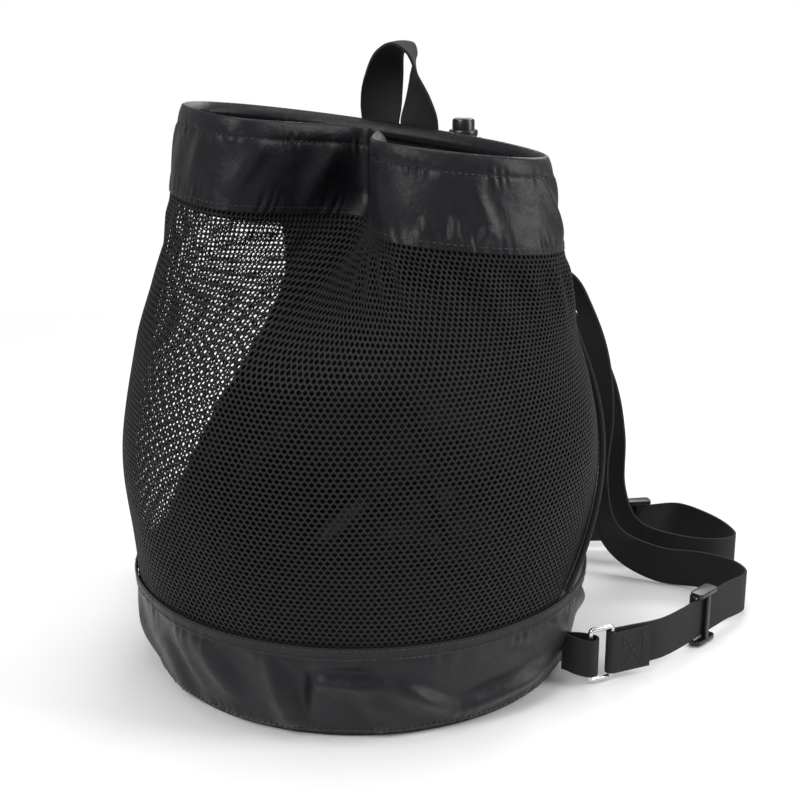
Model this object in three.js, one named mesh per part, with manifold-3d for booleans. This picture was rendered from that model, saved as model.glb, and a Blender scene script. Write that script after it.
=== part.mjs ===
// Mesh ball bag with a drawcord mouth, a haul loop and two webbing shoulder straps.
// Millimetres, +Z up. Origin: centre of the base's underside, on the floor.
// The front, with the fold in its collar, faces -Y. The solid back panel faces +Y.

import * as THREE from 'three';
import { mergeVertices } from 'three/addons/utils/BufferGeometryUtils.js';
import Module from 'manifold-3d';

const wasm = await Module();
wasm.setup();

// ---------- driving dimensions ----------

// outline of the filled bag: radii at heights above the floor
const baseRadius = 123;
const bootRadius = 131;
const bootHeight = 52;
const bellyRadius = 136;
const bellyHeight = 135;
const shoulderRadius = 118;
const shoulderHeight = 210;
const neckRadius = 102;
const mouthRadius = 92;
const mouthHeight = 303;
const collarHeight = 48;

// plan of the mouth: two lobes along X, with the front wall folded inwards
const lobeLength = 108;
const lobeDepth = 64;
const foldDepth = 74;
const foldWidth = 28;
const foldStart = 185;
const mouthLean = 0.115;
const leanAngle = THREE.MathUtils.degToRad(30);

// cloth
const clothThickness = 1.6;
const tapeThickness = 1.0;
const layerGap = 0.4;
const seamGap = 0.35;
const tapeWidth = 9;
const baseThickness = 2.4;
const hemDepth = 20;
const hemChannel = 6;
const panelHalfShare = 0.132;
const panelFlare = 0.14;
const panelFlarePower = 2;
const pipingDiameter = 3.4;

// drawcord and cord lock
const cordDiameter = 3.4;
const cordSpacing = 6.4;
const eyeletInner = 2.1;
const lockPatchGap = 0.5;
const lockDiameter = 17;
const lockHeight = 20;
const lockWall = 1.6;
const lockFloor = 1.8;
const lockDrop = 13;
const buttonTravel = 3.5;
const buttonHead = 3;
const slideTravel = 8;
const fit = 0.35;

// webbing
const webWidth = 25;
const webThickness = 1.6;
const loopHeight = 45;
const loopFeetSpacing = 26;
const loopOffset = -10;
const patchMargin = 3;
const patchHeight = 34;
const patchThickness = 2.2;
const patchGap = 0.9;
const strapPatchHeight = 18;
const strapSpacing = 30;
const swingGap = 3.2;

// strap hardware
const ringWire = 3;
const ringPlay = 6;
const ringDepth = 17;
const ringStandOff = 13;
const ringHeight = 17.4;
const ringAngle = 88;
const tabSlack = 2.9;
const sliderBar = 3.2;
const sliderSlot = 4.6;
const sliderPlay = 5.5;

// tessellation
const wallColumns = 68;
const foldCrowding = 0.075;
const netColumns = 48;
const backColumns = 16;
const wallRows = 11;

// what follows from them: the ring and the sliders take the webbing, and the cord lock clears the haul patch
const ringLength = webWidth + ringPlay;
const sliderLength = webWidth + sliderPlay;
const haulPatchEdge = loopOffset + loopFeetSpacing / 2 + webWidth / 2 + patchMargin;
const lockOffset = haulPatchEdge + lockPatchGap + lockDiameter / 2;

// ---------- materials ----------

function finish(colour, roughness, metalness = 0) {
  return new THREE.MeshStandardMaterial({ color: colour, roughness, metalness });
}

const satinCloth = finish(0x26272b, 0.45);
const netCloth = finish(0x1c1c1e, 0.7);
const webbing = finish(0x18181a, 0.65);
const blackPlastic = finish(0x141416, 0.3);
const nickel = finish(0xb9bcc2, 0.25, 1);
const springSteel = finish(0x9a9ca0, 0.35, 1);

// ---------- the bag's reference surface ----------

// a smooth curve through [x, y] points, as a function of x
function smoothThrough(points) {
  const slopeAt = (i) => {
    const a = points[Math.max(i - 1, 0)];
    const b = points[Math.min(i + 1, points.length - 1)];
    return (b[1] - a[1]) / (b[0] - a[0]);
  };
  return (x) => {
    const last = points.length - 2;
    let i = points.findIndex((p) => p[0] > x) - 1;
    if (i === -2) i = last;
    i = THREE.MathUtils.clamp(i, 0, last);
    const span = points[i + 1][0] - points[i][0];
    const t = (x - points[i][0]) / span;
    const rise = points[i + 1][1] - points[i][1];
    const bend = (slopeAt(i) * span - rise) * (1 - t) - (slopeAt(i + 1) * span - rise) * t;
    return points[i][1] + rise * t + bend * t * (1 - t);
  };
}

const neckHeight = mouthHeight - collarHeight;
const outlineRadius = smoothThrough([
  [0, baseRadius],
  [bootHeight * 0.5, (baseRadius + bootRadius) / 2 + 2],
  [bootHeight, bootRadius],
  [bellyHeight, bellyRadius],
  [shoulderHeight, shoulderRadius],
  [neckHeight, neckRadius],
  [mouthHeight, mouthRadius],
]);

// the mouth's plan at an angle from the back centre, before it is walked by length
function lobe(angle) {
  const x = lobeLength * Math.sin(angle);
  const fold = Math.cos(angle) < 0 ? foldDepth * Math.exp(-((x / foldWidth) ** 2)) : 0;
  return new THREE.Vector2(x, lobeDepth * Math.cos(angle) + fold);
}

// share 0 is the back centre, 0.5 the front fold; equal shares are equal lengths of cloth
const mouthCurve = new THREE.SplineCurve(
  Array.from({ length: 361 }, (_, i) => lobe((i / 360) * 2 * Math.PI)),
);
mouthCurve.arcLengthDivisions = 2000;
const mouthLength = mouthCurve.getLength();

function mouthPlan(share) {
  return mouthCurve.getPointAt(share - Math.floor(share));
}

function wallPlan(share, height) {
  const radius = outlineRadius(height);
  const angle = share * 2 * Math.PI;
  const round = new THREE.Vector2(Math.sin(angle), Math.cos(angle)).multiplyScalar(radius);
  const lobed = mouthPlan(share).multiplyScalar(radius / mouthRadius);
  const mix = THREE.MathUtils.smoothstep(height, foldStart, neckHeight + collarHeight * 0.3);
  return round.lerp(lobed, mix);
}

// the collar stands higher on one side, so its edges lean
function lean(share) {
  const p = mouthPlan(share);
  return -mouthLean * (p.x * Math.cos(leanAngle) + p.y * Math.sin(leanAngle));
}

function wallPoint(share, height, offset = 0) {
  const step = 0.0015;
  const p = wallPlan(share, height);
  const along = wallPlan(share + step, height).sub(wallPlan(share - step, height)).normalize();
  const leaning = THREE.MathUtils.smoothstep(height, bellyHeight, neckHeight);
  const z = height + lean(share) * leaning;
  return new THREE.Vector3(p.x - along.y * offset, p.y + along.x * offset, z);
}

// ---------- builders ----------

// moves every vertex, then turns the faces outwards if the move turned them in
function remap(geometry, place) {
  const g = geometry.clone();
  g.deleteAttribute('normal');
  g.deleteAttribute('uv');
  const position = g.attributes.position;
  const v = new THREE.Vector3();
  for (let i = 0; i < position.count; i += 1) {
    v.fromBufferAttribute(position, i);
    place(v);
    position.setXYZ(i, v.x, v.y, v.z);
  }
  return facingOut(mergeVertices(g, 1e-4));
}

function facingOut(geometry) {
  const { position } = geometry.attributes;
  const { index } = geometry;
  const [a, b, c] = [new THREE.Vector3(), new THREE.Vector3(), new THREE.Vector3()];
  let volume = 0;
  for (let i = 0; i < index.count; i += 3) {
    a.fromBufferAttribute(position, index.getX(i));
    b.fromBufferAttribute(position, index.getX(i + 1));
    c.fromBufferAttribute(position, index.getX(i + 2));
    volume += a.dot(b.cross(c));
  }
  if (volume < 0) {
    for (let i = 0; i < index.count; i += 3) {
      const first = index.getX(i);
      index.setX(i, index.getX(i + 2));
      index.setX(i + 2, first);
    }
  }
  geometry.computeVertexNormals();
  return geometry;
}

// a closed band round the bag, from its section: [offset from the wall, height] points
function band(section) {
  const hub = 100;
  const outline = section.map(([offset, height]) => new THREE.Vector2(hub + offset, height));
  outline.push(outline[0].clone());
  return remap(new THREE.LatheGeometry(outline, wallColumns), (v) => {
    const turn = Math.atan2(v.x, v.z) / (2 * Math.PI);
    const share = turn + foldCrowding * Math.sin(2 * Math.PI * turn);
    v.copy(wallPoint(share, v.y, Math.hypot(v.x, v.z) - hub));
  });
}

function rectangle(inner, outer, bottom, top, rows = 1) {
  const up = Array.from({ length: rows + 1 }, (_, i) => [outer, bottom + ((top - bottom) * i) / rows]);
  const down = up.map(([, height]) => [inner, height]).reverse();
  return [...up, ...down];
}

// an open panel of the wall between two edges, each a function of the height
function panel(leftEdge, rightEdge, bottom, top, inner, outer, columns, rows, crowding = 0) {
  return remap(new THREE.BoxGeometry(1, 1, 1, columns, 1, rows), (v) => {
    const height = bottom + (top - bottom) * (v.z + 0.5);
    const across = v.x + 0.5 + crowding * Math.sin(2 * Math.PI * (v.x + 0.5));
    const share = THREE.MathUtils.lerp(leftEdge(height), rightEdge(height), across);
    v.copy(wallPoint(share, height, v.y < 0 ? inner : outer));
  });
}

// a tube of round section along points
function tube(points, diameter, steps, sides = 8, closed = false) {
  const section = new THREE.Shape();
  section.absarc(0, 0, diameter / 2, 0, 2 * Math.PI, false);
  const path = new THREE.CatmullRomCurve3(points, closed, 'centripetal');
  const geometry = new THREE.ExtrudeGeometry(section, {
    steps,
    curveSegments: sides / 2,
    bevelEnabled: false,
    extrudePath: path,
  });
  return remap(geometry, () => {});
}

// a ribbon of webbing: stations are { at, across }, where across is the direction of its width
function ribbon(stations, stepsPerStation, width = webWidth, thickness = webThickness) {
  const route = new THREE.CatmullRomCurve3(stations.map((s) => s.at), false, 'centripetal');
  const widths = new THREE.CatmullRomCurve3(stations.map((s) => s.across), false, 'centripetal');
  const steps = (stations.length - 1) * stepsPerStation;
  return remap(new THREE.BoxGeometry(1, 1, 1, 1, 1, steps), (v) => {
    const t = THREE.MathUtils.clamp(v.z + 0.5, 0, 1);
    const along = route.getTangent(t);
    const across = widths.getPoint(t);
    across.addScaledVector(along, -across.dot(along)).normalize();
    const face = new THREE.Vector3().crossVectors(along, across);
    const at = route.getPoint(t);
    v.copy(at.addScaledVector(across, v.x * width).addScaledVector(face, v.y * thickness));
  });
}

// ---------- booleans ----------

function toSolid(geometry) {
  const g = geometry.clone();
  g.deleteAttribute('normal');
  g.deleteAttribute('uv');
  const merged = mergeVertices(g, 1e-4);
  const vertProperties = new Float32Array(merged.attributes.position.array);
  const triVerts = new Uint32Array(merged.index.array);
  return new wasm.Manifold(new wasm.Mesh({ numProp: 3, vertProperties, triVerts }));
}

function toGeometry(solid) {
  const { vertProperties, triVerts } = solid.getMesh();
  const geometry = new THREE.BufferGeometry();
  geometry.setAttribute('position', new THREE.BufferAttribute(vertProperties, 3));
  geometry.setIndex(new THREE.BufferAttribute(triVerts, 1));
  geometry.computeVertexNormals();
  return geometry;
}

function cut(geometry, ...tools) {
  return toGeometry(tools.reduce((solid, tool) => solid.subtract(toSolid(tool)), toSolid(geometry)));
}

function join(...pieces) {
  return toGeometry(pieces.map(toSolid).reduce((sum, piece) => sum.add(piece)));
}

// ---------- assembly ----------

const bag = new THREE.Group();

function add(name, geometry, material, parent = bag) {
  const mesh = new THREE.Mesh(geometry, material);
  mesh.name = name;
  parent.add(mesh);
  return mesh;
}

const wallInner = -clothThickness / 2;
const wallOuter = clothThickness / 2;
const tapeOutside = [wallOuter + layerGap, wallOuter + layerGap + tapeThickness];
const tapeInside = [wallInner - patchGap - tapeThickness, wallInner - patchGap];

// half of the back panel's width, as a share of the way round, at each height
function panelEdge(height) {
  const rise = THREE.MathUtils.clamp((height - bootHeight) / (neckHeight - bootHeight), 0, 1);
  return panelHalfShare + panelFlare * (1 - rise) ** panelFlarePower;
}

const edgeGap = seamGap / (2 * Math.PI * neckRadius);

function addBase() {
  const discRadius = baseRadius - clothThickness - layerGap;
  const disc = [
    new THREE.Vector2(0, 0),
    new THREE.Vector2(discRadius, 0),
    new THREE.Vector2(discRadius, baseThickness),
    new THREE.Vector2(0, baseThickness),
  ];
  const upright = new THREE.Matrix4().makeRotationX(Math.PI / 2);
  const turned = new THREE.LatheGeometry(disc, wallColumns).applyMatrix4(upright);
  add('base_disc', remap(turned, () => {}), satinCloth);
  const bindingFoot = baseThickness + layerGap;
  const binding = rectangle(tapeInside[0] - 1, tapeInside[1], bindingFoot, bindingFoot + tapeWidth);
  add('base_binding', band(binding), webbing);
}

function addWall() {
  const collarFoot = neckHeight;
  add('boot_band', band(rectangle(wallInner, wallOuter, 0, bootHeight, 3)), satinCloth);
  const bindingFoot = bootHeight - tapeWidth / 2;
  add('boot_binding', band(rectangle(...tapeOutside, bindingFoot, bindingFoot + tapeWidth)), webbing);

  const foot = bootHeight + seamGap;
  const top = collarFoot - seamGap;
  const netLeft = (height) => panelEdge(height) + edgeGap;
  const netRight = (height) => 1 - panelEdge(height) - edgeGap;
  const net = panel(netLeft, netRight, foot, top, wallInner, wallOuter, netColumns, wallRows, foldCrowding);
  add('mesh_wall', net, netCloth);
  const backLeft = (height) => -panelEdge(height);
  const back = panel(backLeft, panelEdge, foot, top, wallInner, wallOuter, backColumns, wallRows);
  add('back_panel', back, satinCloth);

  const pipingOffset = wallOuter + patchGap + pipingDiameter / 2;
  const pipingFoot = bindingFoot + tapeWidth + pipingDiameter;
  const pipingTop = collarFoot - pipingDiameter;
  for (const [side, sign] of [['right', 1], ['left', -1]]) {
    const points = Array.from({ length: 15 }, (_, i) => {
      const height = THREE.MathUtils.lerp(pipingFoot, pipingTop, i / 14);
      return wallPoint(sign * panelEdge(height), height, pipingOffset);
    });
    add(`side_piping_${side}`, tube(points, pipingDiameter, 26), webbing);
  }
}

// the collar is one folded band: the outer face, the turned top edge and the sewn hem inside
function addCollar() {
  const foot = neckHeight;
  const top = mouthHeight;
  const hemFoot = top - hemDepth;
  const hemOuter = wallInner - hemChannel;
  const hemInner = hemOuter - clothThickness;
  const section = [
    ...[0, 0.25, 0.5, 0.75, 1].map((rise) => [wallOuter, foot + rise * collarHeight]),
    [hemInner, top],
    [hemInner, hemFoot],
    [hemOuter, hemFoot],
    [hemOuter, top - clothThickness],
    [wallInner, top - clothThickness],
    ...[0.75, 0.5, 0.25, 0].map((rise) => [wallInner, foot + rise * collarHeight]),
  ];
  const holes = cordExits().map((exit) => rodAlongY(exit.at, eyeletInner + eyeletWall - 0.5 + fit, 6));
  add('collar_band', cut(band(section), ...holes), satinCloth);
  const tapeFoot = foot - tapeWidth / 2;
  add('collar_seam_tape', band(rectangle(...tapeInside, tapeFoot, tapeFoot + tapeWidth)), webbing);
}

// ---------- drawcord, eyelets and cord lock ----------

const cordHeight = mouthHeight - clothThickness - hemChannel / 2 - 1.2;
const eyeletFlange = 0.9;
const eyeletWall = 1.1;
const eyeletLift = 0.8;
const channelMiddle = wallInner - hemChannel / 2;

// where the two ends of the cord leave the collar
function cordExits() {
  return [-1, 1].map((side) => {
    const share = (lockOffset + (side * cordSpacing) / 2) / mouthLength;
    return { side, share, at: wallPoint(share, cordHeight, 0) };
  });
}

function at(point, x, y, z) {
  return new THREE.Vector3(point.x + x, point.y + y, point.z + z);
}

function rodAlongY(centre, radius, length, sides = 16) {
  const rod = new THREE.CylinderGeometry(radius, radius, length, sides);
  return rod.translate(centre.x, centre.y, centre.z);
}

// a grommet with a flange outside the cloth and a barrel through it
function addEyelets() {
  const barrel = eyeletInner + eyeletWall;
  const flangeRadius = cordSpacing / 2 - seamGap / 2;
  const back = wallInner - 0.5;
  const flangeFoot = wallOuter + eyeletLift;
  const section = [
    new THREE.Vector2(eyeletInner, back),
    new THREE.Vector2(barrel - 0.5, back),
    new THREE.Vector2(barrel - 0.5, flangeFoot),
    new THREE.Vector2(flangeRadius, flangeFoot),
    new THREE.Vector2(flangeRadius, flangeFoot + eyeletFlange),
    new THREE.Vector2(eyeletInner, flangeFoot + eyeletFlange),
    new THREE.Vector2(eyeletInner, back),
  ];
  for (const exit of cordExits()) {
    const grommet = new THREE.LatheGeometry(section, 16);
    grommet.translate(exit.at.x, exit.at.y, exit.at.z);
    add(exit.side < 0 ? 'eyelet_left' : 'eyelet_right', remap(grommet, () => {}), nickel);
  }
}

const lockGap = 1;
const lockStandOff = wallOuter + eyeletLift + eyeletFlange + lockGap + lockDiameter / 2;
const tailStraight = lockStandOff + lockDiameter / 2 + slideTravel + 1.5;
const tailBend = 8;
const tailDrop = 42;
const knotRadius = 4.6;

function lockCentre() {
  const [left, right] = cordExits();
  return left.at.clone().add(right.at).multiplyScalar(0.5).add(new THREE.Vector3(0, lockStandOff, 0));
}

function addDrawcord() {
  const [left, right] = cordExits();
  const clear = cordDiameter / mouthLength;
  const start = right.share + clear;
  const end = 1 + left.share - clear;
  const round = Array.from({ length: 121 }, (_, i) => {
    const share = THREE.MathUtils.lerp(start, end, i / 120);
    return wallPoint(share, cordHeight, channelMiddle);
  });
  add('drawcord', tube(round, cordDiameter, 78), webbing);

  const middle = lockCentre();
  const knotTop = at(middle, 0, tailStraight + tailBend - lockStandOff, -tailBend - tailDrop);
  for (const { side, at: eye } of cordExits()) {
    const endX = knotTop.x + (side * (cordDiameter + seamGap)) / 2;
    const points = [
      at(eye, 0, wallInner - cordDiameter / 2 + 0.6, 0),
      at(eye, 0, tailStraight / 2, 0),
      at(eye, 0, tailStraight - 4, 0),
      at(eye, 0, tailStraight, 0),
      at(eye, 0, tailStraight + tailBend * 0.71, -tailBend * 0.29),
      at(eye, 0, tailStraight + tailBend, -tailBend),
      at(eye, -side * 0.6, tailStraight + tailBend, -tailBend - tailDrop * 0.5),
      new THREE.Vector3(endX, knotTop.y, knotTop.z),
    ];
    add(side < 0 ? 'cord_tail_left' : 'cord_tail_right', tube(points, cordDiameter, 20), webbing);
  }
  const knot = new THREE.SphereGeometry(knotRadius, 14, 10);
  knot.scale(1, 0.85, 1.1);
  knot.translate(knotTop.x, knotTop.y, knotTop.z - knotRadius * 1.1 - seamGap);
  add('cord_knot', remap(knot, () => {}), webbing);
}

// the barrel is a cup, the button a plunger in it; both cords pass through a cross hole in each
function addCordLock() {
  const centre = lockCentre();
  const outer = lockDiameter / 2;
  const bore = outer - lockWall;
  const foot = -lockDrop;
  const top = foot + lockHeight;
  const turn = (points, sides) => {
    const lathe = new THREE.LatheGeometry(points.map(([r, z]) => new THREE.Vector2(r, z)), sides);
    lathe.rotateX(Math.PI / 2);
    return lathe;
  };
  const cup = turn([
    [0, foot],
    [outer - 1, foot],
    [outer, foot + 1],
    [outer, top - 0.6],
    [outer - 0.6, top],
    [bore, top],
    [bore, foot + lockFloor],
    [0, foot + lockFloor],
  ], 24);
  const hole = cordDiameter / 2 + fit + 0.1;
  const crossHole = (bottom, rise) => {
    const slot = new THREE.BoxGeometry(cordSpacing + 2 * hole, lockDiameter * 1.5, rise);
    return slot.translate(0, 0, bottom + rise / 2);
  };
  const barrel = cut(remap(cup, () => {}), crossHole(-hole, 2 * hole));
  barrel.translate(centre.x, centre.y, centre.z);
  add('cord_lock_barrel', barrel, blackPlastic);

  const plungerRadius = bore - fit;
  const plungerFoot = -hole - 1.3;
  const headTop = top + buttonTravel + buttonHead;
  const plunger = turn([
    [0, plungerFoot],
    [plungerRadius, plungerFoot],
    [plungerRadius, headTop - 1],
    [plungerRadius - 1, headTop],
    [0, headTop],
  ], 24);
  const button = cut(remap(plunger, () => {}), crossHole(-hole, 2 * hole + buttonTravel));
  button.translate(centre.x, centre.y, centre.z);
  add('cord_lock_button', button, blackPlastic);

  const wire = 0.8;
  const springRadius = bore - 1.2;
  const springFoot = foot + lockFloor + wire / 2 + 0.2;
  const springTop = plungerFoot - wire / 2 - 0.2;
  const turns = 3.5;
  const coil = Array.from({ length: 12 * turns + 1 }, (_, i) => {
    const angle = (i / 12) * 2 * Math.PI;
    const rise = THREE.MathUtils.lerp(springFoot, springTop, i / (12 * turns));
    return at(centre, springRadius * Math.cos(angle), springRadius * Math.sin(angle), rise);
  });
  add('cord_lock_spring', tube(coil, wire, 48, 6), springSteel);
}

// ---------- haul loop ----------

function shareAt(along) {
  return along / mouthLength;
}

function addHaulLoop() {
  const half = loopFeetSpacing / 2 + webWidth / 2 + patchMargin;
  const inner = wallOuter + patchGap;
  const patchTop = mouthHeight - 1.5;
  const left = () => shareAt(loopOffset - half);
  const right = () => shareAt(loopOffset + half);
  const foot = patchTop - patchHeight;
  const patch = panel(left, right, foot, patchTop, inner, inner + patchThickness, 8, 2);
  add('haul_patch', patch, satinCloth);

  const offset = inner + patchThickness / 2;
  const footAt = (side) => {
    const share = shareAt(loopOffset + (side * loopFeetSpacing) / 2);
    return wallPoint(share, mouthHeight, offset);
  };
  const [footLeft, footRight] = [footAt(-1), footAt(1)];
  const mid = footLeft.clone().lerp(footRight, 0.5);
  const reach = loopFeetSpacing / 2;
  // each station: share of the reach from the middle, share of the height, turn of the width
  const shape = [
    [-1, 0.02, 0],
    [-0.98, 0.25, 26],
    [-0.9, 0.52, 54],
    [-0.66, 0.84, 76],
    [0, 1, 90],
    [0.66, 0.84, 104],
    [0.9, 0.52, 126],
    [0.98, 0.25, 154],
    [1, 0.02, 180],
  ];
  const stations = shape.map(([x, z, turn]) => {
    const angle = THREE.MathUtils.degToRad(turn);
    return {
      at: at(mid, x * reach, 0, 1 + z * loopHeight),
      across: new THREE.Vector3(Math.cos(angle), Math.sin(angle), 0),
    };
  });
  add('haul_loop', ribbon(stations, 4), webbing);
  return mid;
}

// ---------- shoulder straps ----------

function place(angle, radius, height) {
  const a = THREE.MathUtils.degToRad(angle);
  return new THREE.Vector3(radius * Math.sin(a), radius * Math.cos(a), height);
}

const strapPatchTop = neckHeight - tapeWidth / 2 - 1;
const strapPatchFoot = strapPatchTop - strapPatchHeight;
const strapTop = strapPatchFoot - swingGap;
const ringBarRadius = bootRadius + ringStandOff;
const webMiddle = webWidth / 2 + 0.8;
const sliderMiddle = ringHeight;

// Each route runs from the top of the back panel down to the floor and out to the ring.
// Its points are the angle from the back centre, the distance outside the belly, the height
// and how far the ribbon lies against the bag (1) instead of standing on its edge (0).
const routes = {
  right: {
    down: [
      [14, -9, 221, 1],
      [25, -1, 213, 1],
      [36, 4, 204, 1],
      [40.5, 9, 190, 1],
      [39, 22, 160, 1],
      [35, 34, 118, 1],
      [32, 38, 75, 1],
      [33, 43, 42, 0.75],
      [35.5, 55, 22, 0.35],
      [40.5, 72, webMiddle, 0.05],
      [45, 93, webMiddle, 0],
      [49, 106, webMiddle, 0],
      [54, 106, webMiddle + 1, 0],
    ],
    stretch: [[59.6, 85.4], [70.8, 52.5]],
    onward: [],
  },
  left: {
    down: [
      [-6, -13, 214, 1],
      [9, -2, 203, 1],
      [22, 10, 190, 1],
      [29.5, 24, 172, 1],
      [32, 40, 140, 1],
      [31, 53, 100, 1],
      [30, 58, 62, 1],
      [31, 66, 36, 0.7],
      [33.5, 78, 20, 0.3],
      [38, 98, webMiddle, 0.05],
      [41, 117, webMiddle, 0],
      [40.5, 130, webMiddle, 0],
      [36.5, 137, webMiddle, 0],
      [32, 136, webMiddle + 1.5, 0],
    ],
    stretch: [[28.1, 127], [21.2, 74]],
    onward: [
      [12, 57, webMiddle + 1.5, 0],
      [0, 47, webMiddle, 0],
      [-15, 38, webMiddle, 0],
      [-35, 31, webMiddle, 0],
      [-55, 31, webMiddle, 0],
      [-66, 36, webMiddle + 1, 0],
    ],
  },
};

const ringLean = THREE.MathUtils.degToRad(50);
const sewnLength = 24;
const turnRadius = ringWire / 2 + fit + webThickness / 2;
const up = new THREE.Vector3(0, 0, 1);

// the ring's two upright bars: the tab holds the near one, the webbing turns round the far one
function ringFrame(side) {
  const sign = side === 'right' ? 1 : -1;
  const outward = place(sign * ringAngle, 1, 0);
  const backward = new THREE.Vector3(-outward.y, outward.x, 0).multiplyScalar(sign);
  const heading = outward.clone().multiplyScalar(Math.cos(ringLean));
  heading.addScaledVector(backward, Math.sin(ringLean));
  const beside = new THREE.Vector3().crossVectors(up, heading).multiplyScalar(sign);
  const nearBar = outward.clone().multiplyScalar(ringBarRadius).setZ(ringHeight);
  const farBar = nearBar.clone().addScaledVector(heading, ringDepth - ringWire);
  return { sign, outward, backward, heading, beside, nearBar, farBar };
}

function strapStations(side) {
  const { sign, heading, beside, farBar } = ringFrame(side);
  const { down, stretch, onward } = routes[side];
  const [stretchStart, stretchEnd] = stretch.map(([angle, clear]) => {
    return place(angle, bellyRadius + clear, sliderMiddle);
  });
  const topOffset = wallOuter + patchGap + patchThickness;
  const top = wallPoint(shareAt((sign * strapSpacing) / 2), strapTop, topOffset);
  const stations = [{ at: top, across: new THREE.Vector3(1, 0, 0) }];
  const walk = (points) => {
    for (const [angle, clear, height, lying] of points) {
      const across = place(angle + 90, 1, 0).multiplyScalar(lying);
      across.addScaledVector(up, 1 - lying);
      stations.push({ at: place(angle, bellyRadius + clear, height), across });
    }
  };
  const onTurn = (angle, ahead = 0) => {
    const a = THREE.MathUtils.degToRad(angle);
    const point = farBar.clone().addScaledVector(heading, ahead - turnRadius * Math.cos(a));
    return point.addScaledVector(beside, turnRadius * Math.sin(a));
  };
  const stand = (point) => stations.push({ at: point, across: up });
  walk(down);
  for (const t of [0, 1 / 3, 2 / 3, 1]) stand(stretchStart.clone().lerp(stretchEnd, t));
  walk(onward);
  stand(onTurn(90, sewnLength + 10));
  stand(onTurn(90, sewnLength / 2));
  for (const angle of [90, 45, 0, -45, -90]) stand(onTurn(angle));
  stand(onTurn(-90, sewnLength / 2));
  stand(onTurn(-90, sewnLength));
  return stations;
}

// a closed rectangular ring of wire with rounded corners, upright, in the plane of its heading
function wireRing(centre, heading, width, height, wire) {
  const corner = wire * 0.6;
  const outline = new THREE.Shape();
  const [w, h] = [width / 2, height / 2];
  outline.absarc(w - corner, h - corner, corner, 0, Math.PI / 2);
  outline.absarc(-w + corner, h - corner, corner, Math.PI / 2, Math.PI);
  outline.absarc(-w + corner, -h + corner, corner, Math.PI, 1.5 * Math.PI);
  outline.absarc(w - corner, -h + corner, corner, 1.5 * Math.PI, 2 * Math.PI);
  const points = outline.getPoints(3);
  const loop = points.slice(0, -1).map((p) => {
    return centre.clone().addScaledVector(heading, p.x).addScaledVector(up, p.y);
  });
  return sweepRing(loop, wire, 8);
}

// a tube along a closed loop of points, its section turning with the loop
function sweepRing(loop, diameter, sides) {
  const middle = loop.reduce((sum, p) => sum.add(p), new THREE.Vector3()).divideScalar(loop.length);
  const normal = new THREE.Vector3().crossVectors(
    loop[0].clone().sub(middle),
    loop[Math.floor(loop.length / 4)].clone().sub(middle),
  ).normalize();
  const circle = new THREE.TorusGeometry(10, 1, sides, loop.length);
  return remap(circle, (v) => {
    const turn = Math.atan2(v.y, v.x) / (2 * Math.PI);
    const i = Math.round((turn < 0 ? turn + 1 : turn) * loop.length) % loop.length;
    const before = loop[(i + loop.length - 1) % loop.length];
    const after = loop[(i + 1) % loop.length];
    const along = after.clone().sub(before).normalize();
    const out = new THREE.Vector3().crossVectors(along, normal);
    const radial = Math.hypot(v.x, v.y) - 10;
    const level = v.z;
    v.copy(loop[i]).addScaledVector(out, (radial * diameter) / 2);
    v.addScaledVector(normal, (level * diameter) / 2);
  });
}

function addRing(side) {
  const { sign, outward, backward, nearBar, farBar, heading } = ringFrame(side);
  const centre = nearBar.clone().lerp(farBar, 0.5);
  const ring = wireRing(centre, heading, ringDepth - ringWire, ringLength, ringWire);
  add(`ring_${side}`, ring, nickel);

  // the tab: webbing sewn into the base seam that loops loosely round the ring's near bar
  const legGap = tabSlack + ringWire / 2;
  const root = outward.clone().multiplyScalar(baseRadius + 8).setZ(ringHeight);
  const tip = nearBar.clone().setZ(ringHeight);
  const reach = tip.distanceTo(root);
  const station = (ahead, aside) => {
    const point = root.clone().addScaledVector(outward, ahead);
    return { at: point.addScaledVector(backward, aside * sign), across: up };
  };
  const stations = [
    station(0, 1.6),
    station(reach * 0.45, legGap * 0.85),
    station(reach * 0.85, legGap),
    station(reach + legGap * 0.6, legGap * 0.8),
    station(reach + legGap, 0),
    station(reach + legGap * 0.6, -legGap * 0.8),
    station(reach * 0.85, -legGap),
    station(reach * 0.45, -legGap * 0.85),
    station(0, -1.6),
  ];
  add(`ring_tab_${side}`, ribbon(stations, 2, webWidth - 3, 1.2), webbing);
}

// a three-bar slider: the webbing passes over the middle bar and under the two outer ones
function sliderStretch(side) {
  const [from, to] = routes[side].stretch.map(([angle, clear]) => {
    return place(angle, bellyRadius + clear, sliderMiddle);
  });
  return { middle: from.clone().lerp(to, 0.5), along: to.sub(from).normalize() };
}

function addSlider(side) {
  const { middle, along } = sliderStretch(side);
  const face = new THREE.Vector3().crossVectors(up, along);
  const lift = webThickness / 2 + fit + sliderBar / 2;
  const outerBar = sliderLength / 2;
  const pitch = sliderSlot + sliderBar;
  const bar = (ahead, aside) => {
    const rod = new THREE.CylinderGeometry(sliderBar / 2, sliderBar / 2, sliderLength, 10);
    rod.rotateX(Math.PI / 2);
    return rod.translate(ahead, aside, 0);
  };
  const rail = (level) => {
    const box = new THREE.BoxGeometry(2 * pitch + sliderBar, 2 * lift + sliderBar, 2.6);
    return box.translate(0, 0, level);
  };
  const parts = [bar(-pitch, -lift), bar(0, lift), bar(pitch, -lift), rail(outerBar), rail(-outerBar)];
  const body = join(...parts);
  const turn = new THREE.Matrix4().makeBasis(along, face, up).setPosition(middle.x, middle.y, middle.z);
  body.applyMatrix4(turn);
  add(`slider_${side}`, facingOut(body), blackPlastic);
}

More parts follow.
